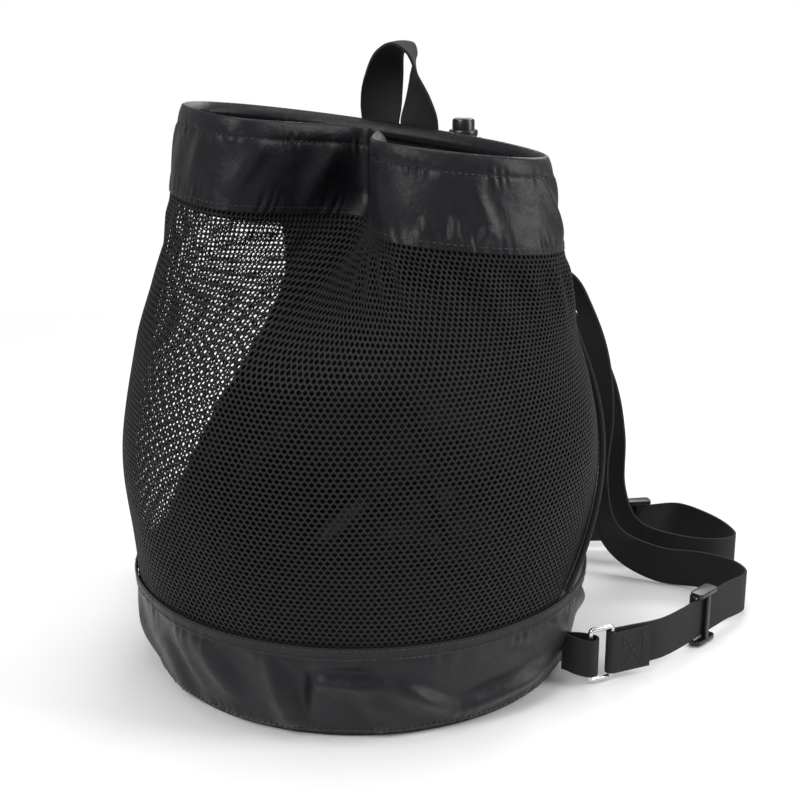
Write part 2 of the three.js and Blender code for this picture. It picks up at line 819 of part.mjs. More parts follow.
function addStraps() {
  const half = strapSpacing / 2 + webWidth / 2 + patchMargin;
  const inner = wallOuter + patchGap;
  const left = () => shareAt(-half);
  const right = () => shareAt(half);
  const patch = panel(left, right, strapPatchFoot, strapPatchTop, inner, inner + patchThickness, 10, 2);
  add('strap_anchor_patch', patch, satinCloth);
  for (const side of ['right', 'left']) {
    add(`strap_${side}`, ribbon(strapStations(side), 3), webbing);
    addRing(side);
    addSlider(side);
  }
}

addBase();
addWall();
addCollar();
addEyelets();
addDrawcord();
addCordLock();
addHaulLoop();
addStraps();

export default bag;
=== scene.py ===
"""Mesh ball bag: net wall, satin cloth, drawcord, haul loop and shoulder straps."""

import math
from collections import namedtuple

import bmesh
import bpy
import numpy as np
from mathutils import Matrix, Vector


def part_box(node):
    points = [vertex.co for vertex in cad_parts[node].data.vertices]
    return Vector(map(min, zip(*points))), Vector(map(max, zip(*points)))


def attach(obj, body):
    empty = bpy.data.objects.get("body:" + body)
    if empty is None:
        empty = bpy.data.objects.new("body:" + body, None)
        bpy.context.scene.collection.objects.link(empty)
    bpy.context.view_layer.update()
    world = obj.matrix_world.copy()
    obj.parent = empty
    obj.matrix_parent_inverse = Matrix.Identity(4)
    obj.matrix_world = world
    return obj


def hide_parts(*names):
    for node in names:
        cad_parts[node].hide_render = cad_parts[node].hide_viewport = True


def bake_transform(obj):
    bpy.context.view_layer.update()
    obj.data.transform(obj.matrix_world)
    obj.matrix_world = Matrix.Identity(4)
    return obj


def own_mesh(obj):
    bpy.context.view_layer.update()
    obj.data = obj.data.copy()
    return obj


bl_info = {"name": "Mesh ball bag", "version": (1, 0, 0), "blender": (4, 5, 0),
    "location": "View3D > Sidebar > Ball bag",
    "description": "Builds the cloth, net, cord, webbing and hardware of a mesh ball bag",
    "category": "Add Mesh"}

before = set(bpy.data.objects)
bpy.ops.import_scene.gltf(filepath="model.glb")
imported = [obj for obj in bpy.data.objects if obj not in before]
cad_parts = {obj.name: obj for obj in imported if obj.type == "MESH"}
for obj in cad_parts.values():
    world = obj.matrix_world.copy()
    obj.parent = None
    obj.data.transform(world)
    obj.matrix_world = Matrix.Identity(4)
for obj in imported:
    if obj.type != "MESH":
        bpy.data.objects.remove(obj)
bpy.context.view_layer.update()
MM = 0.001
TAU = 2 * math.pi
UP = Vector((0, 0, 1))

# ---------------------------------------------------------------------------
# The bag's wall as a surface: share is the way round (0 back centre, 0.5 front
# fold), height and offset are in millimetres
# ---------------------------------------------------------------------------

BOOT_HEIGHT = 52
NECK_HEIGHT = 255
MOUTH_HEIGHT = 303
COLLAR_HEIGHT = MOUTH_HEIGHT - NECK_HEIGHT
MOUTH_RADIUS = 92
BELLY_RADIUS = 136
BELLY_HEIGHT = 135
BASE_RADIUS = 123
OUTLINE = ((0, 123), (26, 129), (52, 131), (135, 136), (210, 118), (255, 102), (303, 92))
LOBE_LENGTH = 108
LOBE_DEPTH = 64
FOLD_DEPTH = 74
FOLD_WIDTH = 28
FOLD_START = 185
MOUTH_LEAN = 0.115
LEAN_ANGLE = math.radians(30)
PANEL_HALF_SHARE = 0.132
PANEL_FLARE = 0.14
PANEL_FLARE_POWER = 2
CLOTH = 0.9
WALL_HALF = 0.8


def smooth_through(points, x):
    """The smooth curve through points, as a function of x."""
    xs, ys = np.array(points, dtype=float).T
    slopes = np.empty_like(ys)
    slopes[1:-1] = (ys[2:] - ys[:-2]) / (xs[2:] - xs[:-2])
    slopes[0] = (ys[1] - ys[0]) / (xs[1] - xs[0])
    slopes[-1] = (ys[-1] - ys[-2]) / (xs[-1] - xs[-2])
    i = np.clip(np.searchsorted(xs, x, side="right") - 1, 0, len(xs) - 2)
    span = xs[i + 1] - xs[i]
    t = (x - xs[i]) / span
    rise = ys[i + 1] - ys[i]
    bend = (slopes[i] * span - rise) * (1 - t) - (slopes[i + 1] * span - rise) * t
    return ys[i] + rise * t + bend * t * (1 - t)


def smoothstep(x, low, high):
    t = np.clip((x - low) / (high - low), 0, 1)
    return t * t * (3 - 2 * t)


def mouth_table():
    """The mouth's plan, walked by its length: shares, x and y."""
    angle = np.linspace(0, TAU, 4001)
    x = LOBE_LENGTH * np.sin(angle)
    fold = np.where(np.cos(angle) < 0, FOLD_DEPTH * np.exp(-((x / FOLD_WIDTH) ** 2)), 0)
    y = LOBE_DEPTH * np.cos(angle) + fold
    length = np.concatenate(([0], np.cumsum(np.hypot(np.diff(x), np.diff(y)))))
    return length / length[-1], x, y, length[-1]


MOUTH_SHARES, MOUTH_X, MOUTH_Y, MOUTH_LENGTH = mouth_table()


def mouth_plan(share):
    share = share - np.floor(share)
    return np.interp(share, MOUTH_SHARES, MOUTH_X), np.interp(share, MOUTH_SHARES, MOUTH_Y)


def wall_plan(share, height):
    radius = smooth_through(OUTLINE, height)
    mix = smoothstep(height, FOLD_START, NECK_HEIGHT + COLLAR_HEIGHT * 0.3)
    x, y = mouth_plan(share)
    scale = radius / MOUTH_RADIUS
    angle = share * TAU
    return (radius * np.sin(angle) * (1 - mix) + x * scale * mix,
        radius * np.cos(angle) * (1 - mix) + y * scale * mix)


def wall_points(share, height, offset=0.0):
    """Points of the wall in metres, moved out from it by offset."""
    share, height, offset = np.broadcast_arrays(np.asarray(share, float), height, offset)
    step = 0.0015
    x, y = wall_plan(share, height)
    x1, y1 = wall_plan(share + step, height)
    x0, y0 = wall_plan(share - step, height)
    along_x, along_y = x1 - x0, y1 - y0
    length = np.hypot(along_x, along_y)
    along_x, along_y = along_x / length, along_y / length
    mx, my = mouth_plan(share)
    lean = -MOUTH_LEAN * (mx * math.cos(LEAN_ANGLE) + my * math.sin(LEAN_ANGLE))
    z = height + lean * smoothstep(height, BELLY_HEIGHT, NECK_HEIGHT)
    return np.stack((x - along_y * offset, y + along_x * offset, z), axis=-1) * MM


def panel_edge(height):
    """Half of the back panel's width at a height, as a share of the way round."""
    rise = np.clip((height - BOOT_HEIGHT) / (NECK_HEIGHT - BOOT_HEIGHT), 0, 1)
    return PANEL_HALF_SHARE + PANEL_FLARE * (1 - rise) ** PANEL_FLARE_POWER


# ---------------------------------------------------------------------------
# Relief of the cloth: soft buckles everywhere, and the creases that stand out
# ---------------------------------------------------------------------------

GIRTH = 820
CELL_ROW_SHARE = 0.7
CELL_SHIFT = 0.28
NET_PARTS = 4
NET_UNDERLAP = 4.5


def buckles(share, height, seed, across=9.0, up=0.03):
    """Smooth wandering buckles between -1 and 1, the same on every run."""
    a = share * TAU
    warp = 0.9 * np.sin(2 * a + seed) + 0.5 * np.sin(3 * a + height * up * 1.7 + seed * 2.1)
    first = np.sin(across * a + 1.4 * warp + height * up + seed * 3.3)
    second = np.sin((across * 1.7) * a - height * up * 2.3 + 1.1 * warp + seed * 5.9)
    third = np.sin((across * 0.6) * a + height * up * 3.1 - warp + seed)
    return (first + 0.6 * second + 0.5 * third) / 2.1


def crease(share, height, start, end, depth, width):
    """A crease from start to end, each (share, height), that dies out at both ends."""
    ax, ay = start[0] * GIRTH, start[1]
    bx, by = end[0] * GIRTH, end[1]
    px, py = share * GIRTH - ax, height - ay
    dx, dy = bx - ax, by - ay
    length = math.hypot(dx, dy)
    t = np.clip((px * dx + py * dy) / length**2, 0, 1)
    distance = ((px - t * dx) * dy - (py - t * dy) * dx) / length
    reach = np.hypot(px - t * dx, py - t * dy)
    side = np.where(distance > 0, 1.0, -1.0)
    fade = np.clip(np.sin(np.pi * t), 0, 1) ** 0.7
    ridge = np.exp(-((reach / width) ** 2)) - 0.55 * np.exp(-(((reach - side * width) / width) ** 2))
    return depth * fade * ridge


def pucker(share, height, line, reach, seed):
    """Small ripples that the thread draws up along a seam at height line."""
    a = share * TAU
    strength = 0.22 + 0.2 * np.sin(17 * a + seed) + 0.12 * np.sin(31 * a - seed)
    ripple = np.sin(88 * a + 2.4 * np.sin(13 * a + seed) + 1.3 * np.sin(29 * a))
    return strength * ripple * np.exp(-(((height - line) / reach) ** 2))


BOOT_CREASES = (((0.478, 51), (0.462, 6), 5.0, 6.5), ((0.452, 49), (0.458, 12), -3.4, 6),
    ((0.452, 37), (0.4, 33), 4.2, 4.5), ((0.43, 30), (0.41, 8), -3.2, 7),
    ((0.402, 36), (0.352, 12), 4.8, 5.5), ((0.36, 11), (0.262, 22), 4.6, 5),
    ((0.34, 44), (0.28, 30), -3.0, 7), ((0.285, 50), (0.25, 30), 3.6, 6),
    ((0.53, 47), (0.5, 16), 3.6, 8), ((0.57, 40), (0.54, 8), -3.0, 8), ((0.6, 10), (0.655, 42), 3.8, 7),
    ((0.7, 48), (0.72, 8), -3.4, 7), ((0.22, 46), (0.15, 12), 4.2, 6), ((0.15, 40), (0.12, 8), -3.0, 7),
    ((0.07, 10), (0.12, 42), 3.8, 7), ((-0.02, 48), (0.0, 10), -3.6, 7),
    ((-0.13, 8), (-0.08, 43), 4.0, 6.5), ((-0.2, 47), (-0.22, 6), 3.4, 7))


def boot_relief(share, height):
    share = share - np.floor(share)
    relief = 1.5 * buckles(share, height, 0.7, across=10, up=0.05)
    for start, end, depth, width in BOOT_CREASES:
        for turn in (0, 1):
            moved = (start[0] + turn, start[1]), (end[0] + turn, end[1])
            relief = relief + crease(share, height, *moved, depth, width)
    held = smoothstep(height, 0, 8) * (1 - smoothstep(height, BOOT_HEIGHT - 8, BOOT_HEIGHT))
    seams = pucker(share, height, BOOT_HEIGHT - 4, 6, 0.4) + pucker(share, height, 6, 5, 2.2)
    return relief * (0.2 + 0.8 * held) + seams


PANEL_CREASES = (((0.11, 235), (0.05, 150), 2.6, 10), ((-0.1, 230), (-0.05, 140), 2.4, 10),
    ((0.02, 210), (0.09, 120), -2.2, 9), ((0.2, 62), (0.13, 118), 2.8, 9),
    ((0.17, 58), (0.1, 84), -2.0, 8), ((-0.2, 62), (-0.13, 112), 2.6, 9),
    ((-0.03, 60), (-0.06, 120), 2.0, 9))


def panel_relief(share, height):
    relief = 1.3 * buckles(share, height, 2.1, across=8, up=0.035)
    for start, end, depth, width in PANEL_CREASES:
        relief = relief + crease(share, height, start, end, depth, width)
    edge = smoothstep(panel_edge(height) - np.abs(share), 0.002, 0.02)
    held = smoothstep(height, BOOT_HEIGHT, BOOT_HEIGHT + 9)
    top = 1 - smoothstep(height, NECK_HEIGHT - 34, NECK_HEIGHT - 24)
    return relief * edge * held * (0.15 + 0.85 * top)


COLLAR_CREASES = (((0.235, 297), (0.205, 262), 2.4, 5), ((0.215, 296), (0.185, 270), -1.8, 5),
    ((0.3, 292), (0.285, 258), 1.4, 6), ((0.37, 262), (0.385, 288), 1.8, 6),
    ((0.345, 257), (0.338, 270), 1.3, 3), ((0.32, 257), (0.316, 272), 1.5, 3),
    ((0.298, 257), (0.292, 269), 1.3, 3), ((0.565, 260), (0.53, 294), 2.6, 8),
    ((0.68, 260), (0.655, 296), 1.8, 9), ((0.405, 258), (0.4, 276), 1.6, 5),
    ((0.6, 294), (0.63, 262), 1.8, 7), ((0.72, 296), (0.75, 262), 2.0, 7),
    ((0.78, 262), (0.8, 290), 1.6, 6), ((0.9, 292), (0.92, 262), 1.6, 7))


def collar_relief(share, height):
    share = share - np.floor(share)
    relief = 1.0 * buckles(share, height, 4.4, across=10, up=0.04)
    for start, end, depth, width in COLLAR_CREASES:
        relief = relief + crease(share, height, start, end, depth, width)
    held = smoothstep(height, NECK_HEIGHT, NECK_HEIGHT + 9)
    top = 1 - 0.75 * smoothstep(height, MOUTH_HEIGHT - 12, MOUTH_HEIGHT - 5)
    back = np.minimum(share, 1 - share)
    flat_back = 0.1 + 0.9 * smoothstep(back, 0.06, 0.1)
    seams = pucker(share, height, NECK_HEIGHT + 4, 6, 1.3) + pucker(share, height, MOUTH_HEIGHT - 10, 4,
        3.1)
    return (relief * (0.2 + 0.8 * held) * top + seams) * flat_back


def net_relief(share, height):
    relief = 1.2 * buckles(share, height, 6.2, across=6, up=0.02)
    held = smoothstep(height, BOOT_HEIGHT, BOOT_HEIGHT + 14)
    top = 1 - smoothstep(height, NECK_HEIGHT - 14, NECK_HEIGHT - 3)
    gathers = 1.1 * np.sin(34 * share * TAU + 2.2 * np.sin(5 * share * TAU))
    return (relief * held + gathers * smoothstep(height, NECK_HEIGHT - 50, NECK_HEIGHT - 14)) * top


# ---------------------------------------------------------------------------
# Materials
# ---------------------------------------------------------------------------


class Shader:
    """A small helper that builds one principled material node by node."""

    def __init__(self, name, colour, roughness, **sockets):
        self.material = bpy.data.materials.new(name)
        self.material.use_nodes = True
        self.nodes = self.material.node_tree.nodes
        self.links = self.material.node_tree.links
        self.principled = self.nodes["Principled BSDF"]
        self.put(self.principled, "Base Color", (*colour, 1))
        self.put(self.principled, "Roughness", roughness)
        for socket, value in sockets.items():
            self.put(self.principled, socket.replace("_", " "), value)

    def put(self, node, socket, value):
        if isinstance(value, bpy.types.NodeSocket):
            self.links.new(value, node.inputs[socket])
        else:
            node.inputs[socket].default_value = value

    def add(self, kind, settings=None, **inputs):
        node = self.nodes.new(kind)
        for key, value in (settings or {}).items():
            setattr(node, key, value)
        for socket, value in inputs.items():
            self.put(node, socket.replace("_", " "), value)
        return node

    def cloth_uv(self, scale):
        uv = self.add("ShaderNodeUVMap", {"uv_map": "cloth"})
        mapping = self.add("ShaderNodeMapping", Vector=uv.outputs["UV"], Scale=(scale, scale, scale))
        return mapping.outputs["Vector"]

    def object_space(self, scale):
        place = self.add("ShaderNodeTexCoord")
        mapping = self.add("ShaderNodeMapping", Vector=place.outputs["Object"],
            Scale=(scale, scale, scale))
        return mapping.outputs["Vector"]

    def noise(self, vector, scale, detail=3.0, roughness=0.55):
        node = self.add("ShaderNodeTexNoise", Vector=vector, Scale=scale, Detail=detail,
            Roughness=roughness)
        return node.outputs["Fac"]

    def threads(self, vector, direction, scale):
        node = self.add("ShaderNodeTexWave",
            {"wave_type": "BANDS", "bands_direction": direction, "wave_profile": "SIN"}, Vector=vector,
            Scale=scale)
        return node.outputs["Fac"]

    def math(self, operation, first, second):
        node = self.nodes.new("ShaderNodeMath")
        node.operation = operation
        for socket, value in zip(node.inputs, (first, second)):
            if isinstance(value, bpy.types.NodeSocket):
                self.links.new(value, socket)
            else:
                socket.default_value = value
        return node.outputs[0]

    def spread(self, factor, low, high):
        node = self.add("ShaderNodeMapRange", Value=factor, To_Min=low, To_Max=high)
        node.inputs["From Min"].default_value = 0.3
        node.inputs["From Max"].default_value = 0.7
        return node.outputs["Result"]

    def blend(self, factor, dark, light):
        node = self.add("ShaderNodeMix", {"data_type": "RGBA"})
        self.put(node, "Factor", factor)
        node.inputs[6].default_value = (*dark, 1)
        node.inputs[7].default_value = (*light, 1)
        return node.outputs[2]

    def bump(self, height, distance, strength=1.0, under=None):
        node = self.add("ShaderNodeBump", Height=height, Distance=distance, Strength=strength)
        if under is not None:
            self.links.new(under, node.inputs["Normal"])
        return node.outputs["Normal"]

    def colour(self, value):
        self.put(self.principled, "Base Color", value)

    def rough(self, value):
        self.put(self.principled, "Roughness", value)

    def normal(self, value):
        self.put(self.principled, "Normal", value)


def satin_material(settings):
    """Coated satin-weave nylon: fine slanted threads, soft sheen, faint wear."""
    tint = tuple(settings.satin_colour)
    shader = Shader("satin_nylon", tint, 0.36, Sheen_Weight=0.02, Sheen_Roughness=0.4,
        Specular_IOR_Level=0.28)
    uv = shader.cloth_uv(1.0)
    warp = shader.threads(uv, "DIAGONAL", 900.0)
    weft = shader.threads(uv, "Y", 700.0)
    weave = shader.math("MULTIPLY", shader.math("ADD", warp, weft), 0.5)
    place = shader.object_space(1.0)
    wear = shader.noise(place, 18.0, 5.0)
    dust = shader.noise(place, 160.0, 3.0)
    lighter = tuple(c * 1.9 for c in tint)
    shader.colour(shader.blend(shader.spread(wear, 0.0, 0.4), tint, lighter))
    shader.rough(shader.spread(dust, 0.31, 0.43))
    slack = shader.noise(place, 34.0, 5.0)
    under = shader.bump(slack, 0.004, 0.5)
    shader.normal(shader.bump(weave, 0.0001, 0.5, under))
    return shader.material


def net_material(settings):
    """Dull polyester yarn of the net, with its filaments."""
    shader = Shader("net_yarn", tuple(settings.net_colour), 0.62, Specular_IOR_Level=0.2)
    place = shader.object_space(1.0)
    shader.rough(shader.spread(shader.noise(place, 400.0, 2.0), 0.52, 0.72))
    shader.normal(shader.bump(shader.noise(place, 1600.0, 3.0), 0.0002, 0.6))
    return shader.material


def webbing_material(name, settings, rib=210.0):
    """Polypropylene webbing: a basket weave of thick yarns and a soft sheen."""
    tint = tuple(settings.webbing_colour)
    shader = Shader(name, tint, 0.58, Specular_IOR_Level=0.25, Sheen_Weight=0.04)
    uv = shader.cloth_uv(1.0)
    ribs = shader.threads(uv, "X", rib)
    lines = shader.threads(uv, "Y", rib * 0.8)
    weave = shader.math("MULTIPLY", shader.math("ADD", ribs, lines), 0.5)
    place = shader.object_space(1.0)
    wear = shader.noise(place, 40.0, 4.0)
    shader.colour(shader.blend(shader.spread(wear, 0.0, 0.6), tint, tuple(c * 2.2 for c in tint)))
    shader.rough(shader.spread(shader.noise(place, 300.0), 0.5, 0.68))
    shader.normal(shader.bump(weave, 0.0007, 0.9))
    return shader.material


def cord_material(settings):
    """Braided polyester cord: two sets of strands that cross, their crests painted lighter as a painted
    highlight and the grooves between them painted darker as painted shade.
    """
    tint = tuple(settings.webbing_colour)
    shader = Shader("braided_cord", tint, 0.55, Specular_IOR_Level=0.3, Sheen_Weight=0.04)
    uv = shader.cloth_uv(1.0)
    left = shader.threads(uv, "DIAGONAL", 260.0)
    flipped = shader.add("ShaderNodeMapping", Vector=uv, Scale=(-1, 1, 1)).outputs["Vector"]
    right = shader.threads(flipped, "DIAGONAL", 260.0)
    braid_relief_and_painted_light = shader.math("MAXIMUM", left, right)
    # painted highlight and shade: the braid's relief also sets the colour, lighter on strand crests and
    # darker in the grooves between strands
    shader.colour(shader.blend(braid_relief_and_painted_light, tint, tuple(c * 2.4 for c in tint)))
    shader.normal(shader.bump(braid_relief_and_painted_light, 0.0005, 0.8))
    return shader.material


def thread_material(settings):
    """Bonded sewing thread."""
    tint = tuple(c * 5 for c in settings.webbing_colour)
    shader = Shader("sewing_thread", tint, 0.42, Specular_IOR_Level=0.35)
    place = shader.object_space(1.0)
    shader.rough(shader.spread(shader.noise(place, 900.0), 0.34, 0.52))
    shader.normal(shader.bump(shader.threads(place, "DIAGONAL", 1500.0), 0.0002, 0.5))
    return shader.material


def plastic_material(settings):
    """Moulded black acetal with fine handling marks."""
    shader = Shader("black_acetal", tuple(settings.plastic_colour), 0.3, Specular_IOR_Level=0.5)
    place = shader.object_space(1.0)
    shader.rough(shader.spread(shader.noise(place, 120.0, 4.0), 0.24, 0.4))
    shader.normal(shader.bump(shader.noise(place, 900.0, 2.0), 0.00005, 0.5))
    return shader.material


def nickel_material(name, settings):
    """Nickel plate: bright, with smudges and fine scratches."""
    shader = Shader(name, tuple(settings.nickel_colour), 0.2, Metallic=1.0)
    place = shader.object_space(1.0)
    shader.rough(shader.spread(shader.noise(place, 90.0, 5.0), 0.14, 0.34))
    shader.normal(shader.bump(shader.noise(place, 700.0, 2.0), 0.00004, 0.4))
    return shader.material


# ---------------------------------------------------------------------------
# Mesh helpers
# ---------------------------------------------------------------------------


def lattice(columns, rows, u_size=1.0, v_size=1.0):
    """A flat grid from 0 to 1 both ways, its UV map in metres of cloth."""
    bm = bmesh.new()
    bmesh.ops.create_grid(bm, x_segments=columns, y_segments=rows, size=1)
    bmesh.ops.transform(bm, matrix=Matrix.Diagonal((0.5, 0.5, 1, 1)), verts=bm.verts)
    bmesh.ops.translate(bm, vec=(0.5, 0.5, 0), verts=bm.verts)
    lay_uv(bm, u_size, v_size)
    return bm


def lay_uv(bm, u_size, v_size):
    layer = bm.loops.layers.uv.verify()
    for face in bm.faces:
        for loop in face.loops:
            loop[layer].uv = (loop.vert.co.x * u_size, loop.vert.co.y * v_size)


def place_vertices(bm, where):
    """Moves every vertex to where(x, y), which takes and returns arrays."""
    verts = list(bm.verts)
    flat = np.array([v.co[:] for v in verts])
    for vert, point in zip(verts, where(flat[:, 0], flat[:, 1])):
        vert.co = point


def close_seam(bm):
    """Joins edges that meet, and turns the faces outwards."""
    bmesh.ops.remove_doubles(bm, verts=bm.verts, dist=1e-6)
    bmesh.ops.recalc_face_normals(bm, faces=bm.faces)


def piece(name, bm, material, body=None, thickness=0.0, sharp=40):
    """Turns a bmesh into a finished object: wall thickness, shading, material and body."""
    mesh = bpy.data.meshes.new(name)
    bm.to_mesh(mesh)
    bm.free()
    for layer in mesh.uv_layers:
        layer.name = "cloth"
    obj = bpy.data.objects.new(name, mesh)
    bpy.context.scene.collection.objects.link(obj)
    if thickness:
        wall = obj.modifiers.new("thickness", "SOLIDIFY")
        wall.thickness = thickness
        wall.offset = 0
        settle(obj)
    obj.data.materials.clear()
    obj.data.materials.append(material)
    obj.data.shade_smooth()
    obj.data.set_sharp_from_angle(angle=math.radians(sharp))
    if body:
        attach(obj, body)
    return obj


def settle(obj):
    """Applies an object's modifiers to its mesh."""
    evaluated = obj.evaluated_get(bpy.context.evaluated_depsgraph_get())
    mesh = bpy.data.meshes.new_from_object(evaluated)
    obj.modifiers.clear()
    old = obj.data
    obj.data = mesh
    mesh.name = obj.name
    bpy.data.meshes.remove(old)


def band(columns, rows, profile, relief=None):
    """A cloth ring round the bag. profile(t) gives (offset, height) up the band's section."""
    length = GIRTH * MM
    bm = lattice(columns, rows, length, 0.06)

    def where(x, y):
        offset, height = profile(y)
        extra = relief(x, height) if relief else 0
        return wall_points(x, height, offset + extra)

    place_vertices(bm, where)
    close_seam(bm)
    return bm


def tape_band(bottom, top, offset, relief=None, columns=360):
    def profile(t):
        rise = bottom + (top - bottom) * t
        return offset - 0.25 * np.abs(2 * t - 1) ** 4, rise

    return band(columns, 6, profile, relief)


def tube(points, radius, sides=12, closed=False):
    """A round tube through points, its UV map in metres along and around."""
    points = [Vector(p) for p in points]
    count = len(points)
    steps = count if closed else count - 1
    length = sum((points[(i + 1) % count] - points[i]).length for i in range(steps))
    bm = lattice(steps, sides, length, TAU * radius)
    frames = []
    side = None
    for i in range(count):
        before = points[(i - 1) % count] if closed or i else points[0]
        after = points[(i + 1) % count] if closed or i < count - 1 else points[-1]
        along = (after - before).normalized()
        if side is None:
            side = along.orthogonal().normalized()
        side = (side - along * side.dot(along)).normalized()
        frames.append((points[i], side.copy(), along.cross(side)))
    if closed:
        frames.append(frames[0])
    for vert in bm.verts:
        i = round(vert.co.x * steps)
        angle = vert.co.y * TAU
        centre, first, second = frames[i]
        vert.co = centre + (first * math.cos(angle) + second * math.sin(angle)) * radius
    bmesh.ops.remove_doubles(bm, verts=bm.verts, dist=1e-7)
    if not closed:
        ends = [e for e in bm.edges if e.is_boundary]
        bmesh.ops.holes_fill(bm, edges=ends, sides=0)
    bmesh.ops.recalc_face_normals(bm, faces=bm.faces)
    return bm


def lathe(profile, segments=48):
    """A solid of revolution about Z from (radius, z) points, on the axis at both ends or closed."""
    bm = bmesh.new()
    verts = [bm.verts.new((r * MM, 0, z * MM)) for r, z in profile]
    edges = [bm.edges.new(pair) for pair in zip(verts, verts[1:])]
    if profile[0][0] > 0:
        edges.append(bm.edges.new((verts[-1], verts[0])))
    bmesh.ops.spin(bm, geom=verts + edges, axis=(0, 0, 1), cent=(0, 0, 0), steps=segments, angle=TAU,
        use_merge=True)
    bmesh.ops.remove_doubles(bm, verts=bm.verts, dist=1e-7)
    bmesh.ops.recalc_face_normals(bm, faces=bm.faces)
    bm.loops.layers.uv.verify()
    return bm


def rounded(bm, width, segments=3, angle=30):
    """Bevels the edges that turn by more than angle."""
    limit = math.radians(angle)
    edges = [e for e in bm.edges if e.is_manifold and e.calc_face_angle() > limit]
    bmesh.ops.bevel(bm, geom=edges, offset=width, offset_type="OFFSET", affect="EDGES",
        segments=segments, profile=0.5, material=-1, clamp_overlap=True)
    return bm


def cube(bm, centre, size):
    matrix = Matrix.Translation(centre) @ Matrix.Diagonal((*size, 1))
    return bmesh.ops.create_cube(bm, size=1, matrix=matrix)["verts"]


def merge(*meshes):
    """Puts several bmeshes into one."""
    total = bmesh.new()
    for bm in meshes:
        mesh = bpy.data.meshes.new("joined")
        bm.to_mesh(mesh)
        bm.free()
        total.from_mesh(mesh)
        bpy.data.meshes.remove(mesh)
    return total


def cut_with(obj, cutter):
    """Cuts the closed mesh cutter out of obj."""
    mesh = bpy.data.meshes.new("cutter")
    cutter.to_mesh(mesh)
    cutter.free()
    tool = bpy.data.objects.new("cutter", mesh)
    bpy.context.scene.collection.objects.link(tool)
    boolean = obj.modifiers.new("cut", "BOOLEAN")
    boolean.operation = "DIFFERENCE"
    boolean.solver = "EXACT"
    boolean.object = tool
    settle(obj)
    bpy.data.objects.remove(tool)
    bpy.data.meshes.remove(mesh)
    obj.data.set_sharp_from_angle(angle=math.radians(35))


# ---------------------------------------------------------------------------
# Curves and ribbons
# ---------------------------------------------------------------------------


def curve_point(points, t):
    """The centripetal curve through points, at t from 0 to 1."""
    points = [Vector(p) for p in points]
    last = len(points) - 1
    place = t * last
    i = min(int(place), last - 1)
    w = place - i
    p1, p2 = points[i], points[i + 1]
    p0 = points[i - 1] if i > 0 else p1 * 2 - p2
    p3 = points[i + 2] if i + 2 <= last else p2 * 2 - p1
    d0, d1, d2 = (max((b - a).length ** 0.5, 1e-6) for a, b in ((p0, p1), (p1, p2), (p2, p3)))
    t1 = ((p1 - p0) / d0 - (p2 - p0) / (d0 + d1) + (p2 - p1) / d1) * d1
    t2 = ((p2 - p1) / d1 - (p3 - p1) / (d1 + d2) + (p3 - p2) / d2) * d1
    c2 = p1 * -3 + p2 * 3 - t1 * 2 - t2
    c3 = p1 * 2 - p2 * 2 + t1 + t2
    return p1 + t1 * w + c2 * w * w + c3 * w * w * w


def ribbon_frames(stations, steps):
    """Centre, width direction and face direction at even steps along a ribbon."""
    centres = [at for at, _ in stations]
    widths = [across for _, across in stations]
    frames = []
    for i in range(steps + 1):
        t = i / steps
        ahead = curve_point(centres, min(t + 0.002, 1)) - curve_point(centres, max(t - 0.002, 0))
        along = ahead.normalized()
        across = curve_point(widths, t)
        across = (across - along * across.dot(along)).normalized()
        frames.append((curve_point(centres, t), across, along.cross(across)))
    return frames


def ribbon(stations, per_station, width, cup=0.0, across_cells=8):
    """Webbing along stations of (centre, width direction). cup bows its middle out of its edges."""
    steps = (len(stations) - 1) * per_station
    frames = ribbon_frames(stations, steps)
    length = sum((b[0] - a[0]).length for a, b in zip(frames, frames[1:]))
    bm = lattice(steps, across_cells, length, width)
    for vert in bm.verts:
        centre, across, face = frames[round(vert.co.x * steps)]
        aside = vert.co.y - 0.5
        vert.co = centre + across * (aside * width) + face * (cup * (0.25 - aside * aside) * 4)
    bmesh.ops.recalc_face_normals(bm, faces=bm.faces)
    return bm


# ---------------------------------------------------------------------------
# Stitching
# ---------------------------------------------------------------------------

STITCH_PITCH = 3.4 * MM
STITCH_LENGTH = 2.5 * MM
STITCH_RADIUS = 0.33 * MM


def stitch_line(bm, points):
    """Lays stitches along a polyline of points."""
    points = [Vector(p) for p in points]
    lengths = [0.0]
    for a, b in zip(points, points[1:]):
        lengths.append(lengths[-1] + (b - a).length)
    count = max(int(lengths[-1] / STITCH_PITCH), 1)
    xs, ys, zs = np.array([p[:] for p in points]).T
    for i in range(count):
        ends = []
        for shift in (-0.5, 0.5):
            at = (i + 0.5) * lengths[-1] / count + shift * STITCH_LENGTH
            ends.append(Vector([np.interp(at, lengths, c) for c in (xs, ys, zs)]))
        along = ends[1] - ends[0]
        turn = along.to_track_quat("Z", "Y").to_matrix().to_4x4()
        scale = Matrix.Diagonal((STITCH_RADIUS, STITCH_RADIUS, along.length / 2, 1))
        matrix = Matrix.Translation((ends[0] + ends[1]) / 2) @ turn @ scale
        bmesh.ops.create_uvsphere(bm, u_segments=6, v_segments=4, radius=1, matrix=matrix)


def wall_line(shares, heights, offset, relief=None):
    extra = relief(np.asarray(shares), np.asarray(heights)) if relief else 0
    return wall_points(shares, heights, offset + extra)


# ---------------------------------------------------------------------------
# Settings
# ---------------------------------------------------------------------------


